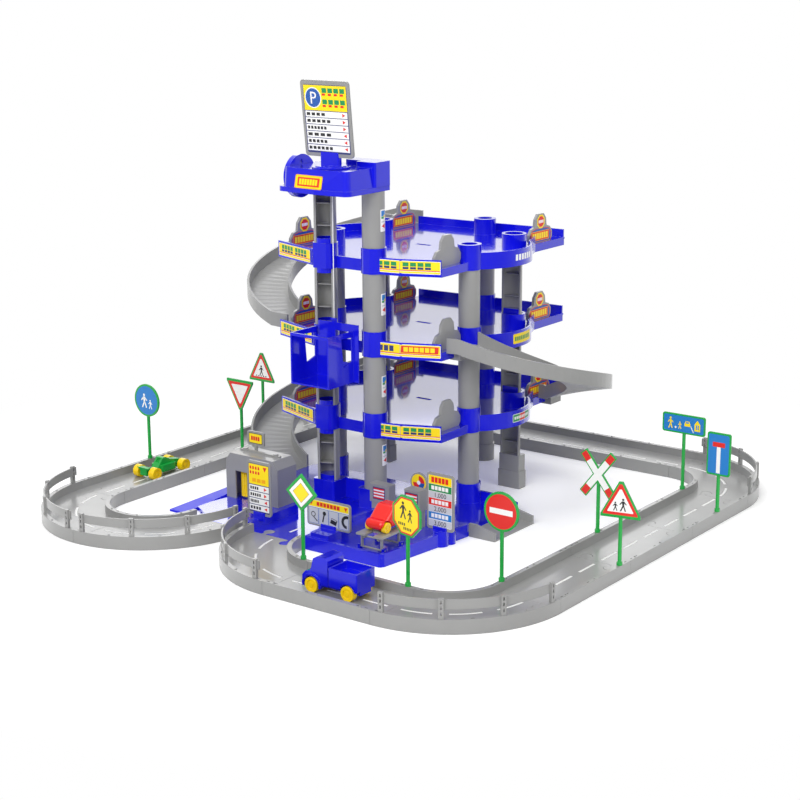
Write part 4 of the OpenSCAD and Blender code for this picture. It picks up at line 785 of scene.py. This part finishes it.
# %% Centre lines of the road pieces
LOOP = 300              # from the middle of the loop to the start of a bend
BEND_R = 137.5
LANE = LOOP + BEND_R    # from the middle of the loop to the middle of a lane
PIECE = 200             # length of a straight piece
BENDS = ((100, -LOOP, 180), (LOOP, -LOOP, -90), (LOOP, LOOP, 0),
         (-LOOP, LOOP, 90), (-LOOP, -LOOP, 180), (-LOOP, -LOOP, 270))

def line(x0, y0, x1, y1):
    return [(x0 + (x1 - x0) * i / 8, y0 + (y1 - y0) * i / 8) for i in range(9)]

def bend(cx, cy, start):
    turns = [math.radians(start + 90 * i / 24) for i in range(25)]
    return [(cx + BEND_R * math.cos(t), cy + BEND_R * math.sin(t)) for t in turns]

lanes = [bend(*place) for place in BENDS] + [line(100, -LANE, LOOP, -LANE)]
for a in (-300, -100, 100):
    lanes += [line(LANE, a, LANE, a + PIECE), line(a, LANE, a + PIECE, LANE),
              line(-LANE, a, -LANE, a + PIECE)]
print("road pieces", len(lanes))

# %% The dash tree
LINE_STEPS = 72         # steps on one road piece, three dashes and three gaps

def input_socket(tree, name, kind, default, low=0.0):
    socket = tree.interface.new_socket(name, in_out="INPUT", socket_type=kind)
    socket.default_value = default
    socket.min_value = low
    return socket

def dash_tree(material):
    tree = bpy.data.node_groups.new("lane_dashes", "GeometryNodeTree")
    tree.interface.new_socket("Lines", in_out="INPUT", socket_type="NodeSocketGeometry")
    input_socket(tree, "Dash width", "NodeSocketFloat", 0.004)
    input_socket(tree, "Ink height", "NodeSocketFloat", 0.00012)
    input_socket(tree, "Steps per dash and gap", "NodeSocketInt", 24, 2)
    input_socket(tree, "First inked step", "NodeSocketInt", 4, 0)
    input_socket(tree, "Last inked step", "NodeSocketInt", 20, 1)
    tree.interface.new_socket("Dashes", in_out="OUTPUT", socket_type="NodeSocketGeometry")
    given = add(tree, "NodeGroupInput").outputs
    even = add(tree, "GeometryNodeResampleCurve",
               {"Curve": given["Lines"], "Count": LINE_STEPS + 1})
    where = add(tree, "GeometryNodeSplineParameter")
    kept = add(tree, "GeometryNodeCaptureAttribute", {"Geometry": even.outputs["Curve"]},
               domain="POINT")
    kept.capture_items.new("INT", "step")
    tree.links.new(where.outputs["Index"], kept.inputs["step"])
    wire = add(tree, "GeometryNodeCurveToMesh", {"Curve": kept.outputs["Geometry"]})
    phase = add(tree, "ShaderNodeMath",
                {0: kept.outputs["step"], 1: given["Steps per dash and gap"]},
                operation="MODULO")
    early = add(tree, "FunctionNodeCompare",
                {0: phase.outputs[0], 1: given["First inked step"]}, operation="LESS_THAN")
    late = add(tree, "FunctionNodeCompare",
               {0: phase.outputs[0], 1: given["Last inked step"]}, operation="GREATER_THAN")
    bare = add(tree, "FunctionNodeBooleanMath", {0: early.outputs[0], 1: late.outputs[0]},
               operation="OR")
    inked_part = add(tree, "GeometryNodeDeleteGeometry",
                     {"Geometry": wire.outputs["Mesh"], "Selection": bare.outputs[0]},
                     domain="POINT")
    paths = add(tree, "GeometryNodeMeshToCurve", {"Mesh": inked_part.outputs["Geometry"]})
    level = add(tree, "GeometryNodeSetCurveNormal", {"Curve": paths.outputs["Curve"]})
    level.mode = "Z_UP"
    section = add(tree, "GeometryNodeCurvePrimitiveQuadrilateral",
                  {"Width": given["Dash width"], "Height": given["Ink height"]})
    swept = add(tree, "GeometryNodeCurveToMesh", {
        "Curve": level.outputs["Curve"], "Profile Curve": section.outputs["Curve"],
        "Fill Caps": True})
    solid = add(tree, "GeometryNodeRealizeInstances", {"Geometry": swept.outputs["Mesh"]})
    done = add(tree, "GeometryNodeSetMaterial",
               {"Geometry": solid.outputs["Geometry"], "Material": material})
    add(tree, "NodeGroupOutput", {"Dashes": done.outputs["Geometry"]})
    return tree

# %% Run a tree on an object and keep the plain mesh
def grown(name, source, tree, settings, body):
    """Puts the tree on the source, sets its inputs by socket identifier, keeps the result."""
    modifier = source.modifiers.new("rule", "NODES")
    modifier.node_group = tree
    keys = {item.name: item.identifier for item in tree.interface.items_tree
            if item.in_out == "INPUT"}
    for key, value in settings.items():
        modifier[keys[key]] = value
    view = source.evaluated_get(bpy.context.evaluated_depsgraph_get())
    mesh = bpy.data.meshes.new_from_object(view)
    source.modifiers.remove(modifier)
    piece = bpy.data.objects.new(name, mesh)
    bpy.context.collection.objects.link(piece)
    bpy.data.objects.remove(source)
    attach(piece, body)
    xs, ys, zs = zip(*[v.co for v in mesh.vertices])
    print(name, len(mesh.polygons), "faces, z", round(min(zs), 5), round(max(zs), 5),
          "x", round(min(xs), 4), round(max(xs), 4))
    return piece

def splines(name, paths, z):
    curve = bpy.data.curves.new(name, "CURVE")
    curve.dimensions = "3D"
    for path in paths:
        spline = curve.splines.new("POLY")
        spline.points.add(len(path) - 1)
        for point, (x, y) in zip(spline.points, path):
            point.co = (x * MM, y * MM, z * MM, 1)
    piece = bpy.data.objects.new(name, curve)
    bpy.context.collection.objects.link(piece)
    return piece

INK_Z = 8.1             # just above the road, which is 8 mm high
grown("lane_dashes", splines("lane_lines", lanes, INK_Z), dash_tree(INK["white"]),
      {"Dash width": 0.0042, "Ink height": 0.00012,
       "First inked step": 4, "Last inked step": 20}, "garage")

# %% Painted arrow on the blue lane
def blue_lane(u, v, h):
    return Vector((-37.5 + u, -250 + v, 8 + h)) * MM

label("lane_arrow", "garage", [(blue_lane, [
    ("white", bar(-2, -18, 2, 12), 0), ("white", arrow(0, 16, 11, 90), 0)])])

# %% [markdown]
# The pieces of road are clipped together, and the mould leaves small slots on top of the
# kerbs beside every joint, where a core pin formed the catch. They are too shallow to matter for
# the solids, so they are added here as dark inlays of painted shade, which stands in for the shade
# inside each slot, one shape repeated at every place by a tree.

# %% Slots on the kerbs
def slot_tree(material):
    tree = bpy.data.node_groups.new("kerb_slots", "GeometryNodeTree")
    tree.interface.new_socket("Places", in_out="INPUT", socket_type="NodeSocketGeometry")
    input_socket(tree, "Slot length", "NodeSocketFloat", 0.007)
    input_socket(tree, "Slot width", "NodeSocketFloat", 0.0018)
    tree.interface.new_socket("Slots", in_out="OUTPUT", socket_type="NodeSocketGeometry")
    given = add(tree, "NodeGroupInput").outputs
    round_end = add(tree, "GeometryNodeMeshCylinder",
                    {"Vertices": 12, "Radius": 0.5, "Depth": 0.0001})
    size = add(tree, "ShaderNodeCombineXYZ",
               {"X": given["Slot width"], "Y": given["Slot length"], "Z": 1.0})
    oval = add(tree, "GeometryNodeTransform",
               {"Geometry": round_end.outputs["Mesh"], "Scale": size.outputs[0]})
    way = add(tree, "GeometryNodeInputNamedAttribute", {"Name": "way"}, data_type="FLOAT")
    turn = add(tree, "ShaderNodeCombineXYZ", {"Z": way.outputs["Attribute"]})
    spots = add(tree, "GeometryNodeInstanceOnPoints", {
        "Points": given["Places"], "Instance": oval.outputs["Geometry"],
        "Rotation": turn.outputs[0]})
    solid = add(tree, "GeometryNodeRealizeInstances", {"Geometry": spots.outputs["Instances"]})
    done = add(tree, "GeometryNodeSetMaterial",
               {"Geometry": solid.outputs["Geometry"], "Material": material})
    add(tree, "NodeGroupOutput", {"Slots": done.outputs["Geometry"]})
    return tree

KERB = 52.5             # from the middle of a lane to the middle of a kerb
KERB_Z = 22.06          # just above the kerbs, which are 22 mm high
STRAIGHT_SLOTS = (9, 24, 82, 176, 191)                          # mm along a straight piece
BEND_SLOTS = ((85, (7, 83)), (190, (2.7, 45, 87.3)))            # radius, degrees along a bend

def slot_places():
    """(x, y, direction) of every slot: near both ends of each road piece, on both kerbs."""
    spots = []
    for path in lanes[len(BENDS):]:
        (x0, y0), (x1, y1) = path[0], path[-1]
        dx, dy = (x1 - x0) / PIECE, (y1 - y0) / PIECE
        spots += [(x0 + dx * t - dy * side, y0 + dy * t + dx * side,
                   math.atan2(dy, dx) - math.pi / 2)
                  for side in (-KERB, KERB) for t in STRAIGHT_SLOTS]
    for cx, cy, start in BENDS:
        for r, angles in BEND_SLOTS:
            for a in angles:
                t = math.radians(start + a)
                spots.append((cx + r * math.cos(t), cy + r * math.sin(t), t))
    return spots

def point_cloud(name, spots, z):
    mesh = bpy.data.meshes.new(name)
    mesh.from_pydata([(x * MM, y * MM, z * MM) for x, y, _ in spots], [], [])
    way = mesh.attributes.new("way", "FLOAT", "POINT")
    way.data.foreach_set("value", [t for _, _, t in spots])
    piece = bpy.data.objects.new(name, mesh)
    bpy.context.collection.objects.link(piece)
    return piece

# Painted shade: the slot is the same grey plastic, and this dark colour, mottled at random, stands
# in for the shade inside it.
slot_shade, tree = new_material("painted_slot_shade")
where = add(tree, "ShaderNodeTexCoord").outputs["Object"]
shade_mottle = add(tree, "ShaderNodeTexNoise", {"Vector": where, "Scale": 1000 / 1.5})
tone = add(tree, "ShaderNodeMix",
           {0: shade_mottle.outputs["Fac"], 6: linear("#2e2d2c"), 7: linear("#4c4a48")},
           data_type="RGBA")
skin = add(tree, "ShaderNodeBsdfPrincipled", {"Base Color": tone.outputs[2], "Roughness": 0.6})
add(tree, "ShaderNodeOutputMaterial", {"Surface": skin.outputs[0]})

grown("kerb_slots", point_cloud("slot_points", slot_places(), KERB_Z), slot_tree(slot_shade),
      {"Slot length": 0.0065, "Slot width": 0.0017}, "garage")

# %% [markdown]
# The lift hangs on a white braided nylon cord, 1.6 mm thick, that comes down taut from its drum
# through the floor of the head to the hook on the cage. Both ends are held, so it has no sag.
# When the cage travels, the cord between them has to change its length; here it is one
# straight tube that takes the place of the CAD cord.

# %% Braided cord
PLAIT_MM = 4            # length of cord for one turn of the pattern
PLAITS_AROUND = 3.0

def braid(name):
    material, tree = new_material(name)
    where = add(tree, "ShaderNodeTexCoord").outputs["UV"]
    plait = add(tree, "ShaderNodeTexWave", {"Vector": where, "Scale": 1.0, "Distortion": 0.4},
                bands_direction="DIAGONAL")
    # Painted shade: the darker colour falls where the plait is low, in the grooves between the
    # strands, and the lighter colour on the raised strands.
    tone = add(tree, "ShaderNodeMix",
               {0: plait.outputs["Fac"], 6: linear("#d9d9d6"), 7: linear("#fbfbf9")},
               data_type="RGBA")
    bump = add(tree, "ShaderNodeBump",
               {"Height": plait.outputs["Fac"], "Strength": 0.8, "Distance": 0.12 * MM})
    skin = add(tree, "ShaderNodeBsdfPrincipled", {
        "Base Color": tone.outputs[2], "Roughness": 0.62, "Normal": bump.outputs[0]})
    add(tree, "ShaderNodeOutputMaterial", {"Surface": skin.outputs[0]})
    return material

low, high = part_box("lift_cord")
cord_x, cord_y = (low[0] + high[0]) / 2, (low[1] + high[1]) / 2
cord_r, cord_top, cord_low = (high[0] - low[0]) / 2, high[2], low[2]

def cord_tube(name, rings=61, sides=12):
    bm = bmesh.new()
    uv = bm.loops.layers.uv.new("UVMap")
    levels = [cord_low + (cord_top - cord_low) * i / (rings - 1) for i in range(rings)]
    turns = [2 * math.pi * k / sides for k in range(sides)]
    hoops = [[bm.verts.new((cord_x + cord_r * math.cos(t), cord_y + cord_r * math.sin(t), z))
              for t in turns] for z in levels]
    for under, over, z0, z1 in zip(hoops, hoops[1:], levels, levels[1:]):
        for k in range(sides):
            k2 = (k + 1) % sides
            face = bm.faces.new([under[k], under[k2], over[k2], over[k]])
            face.smooth = True
            corners = ((k, z0), (k + 1, z0), (k + 1, z1), (k, z1))
            for loop, (a, z) in zip(face.loops, corners):
                loop[uv].uv = (a / sides * PLAITS_AROUND, z / (PLAIT_MM * MM))
    bm.faces.new(list(reversed(hoops[0])))
    bm.faces.new(hoops[-1])
    mesh = bpy.data.meshes.new(name)
    bm.to_mesh(mesh)
    bm.free()
    mesh.materials.append(braid("braided_white_nylon"))
    piece = bpy.data.objects.new(name, mesh)
    bpy.context.collection.objects.link(piece)
    return piece, [(cord_x, cord_y, z) for z in reversed(levels)]

cord, cord_path = cord_tube("braided_lift_cord")
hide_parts("lift_cord")
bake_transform(cord)
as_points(cord_path)
print("cord", round(cord_top - cord_low, 4), "m long,", round(2000 * cord_r, 2), "mm thick")
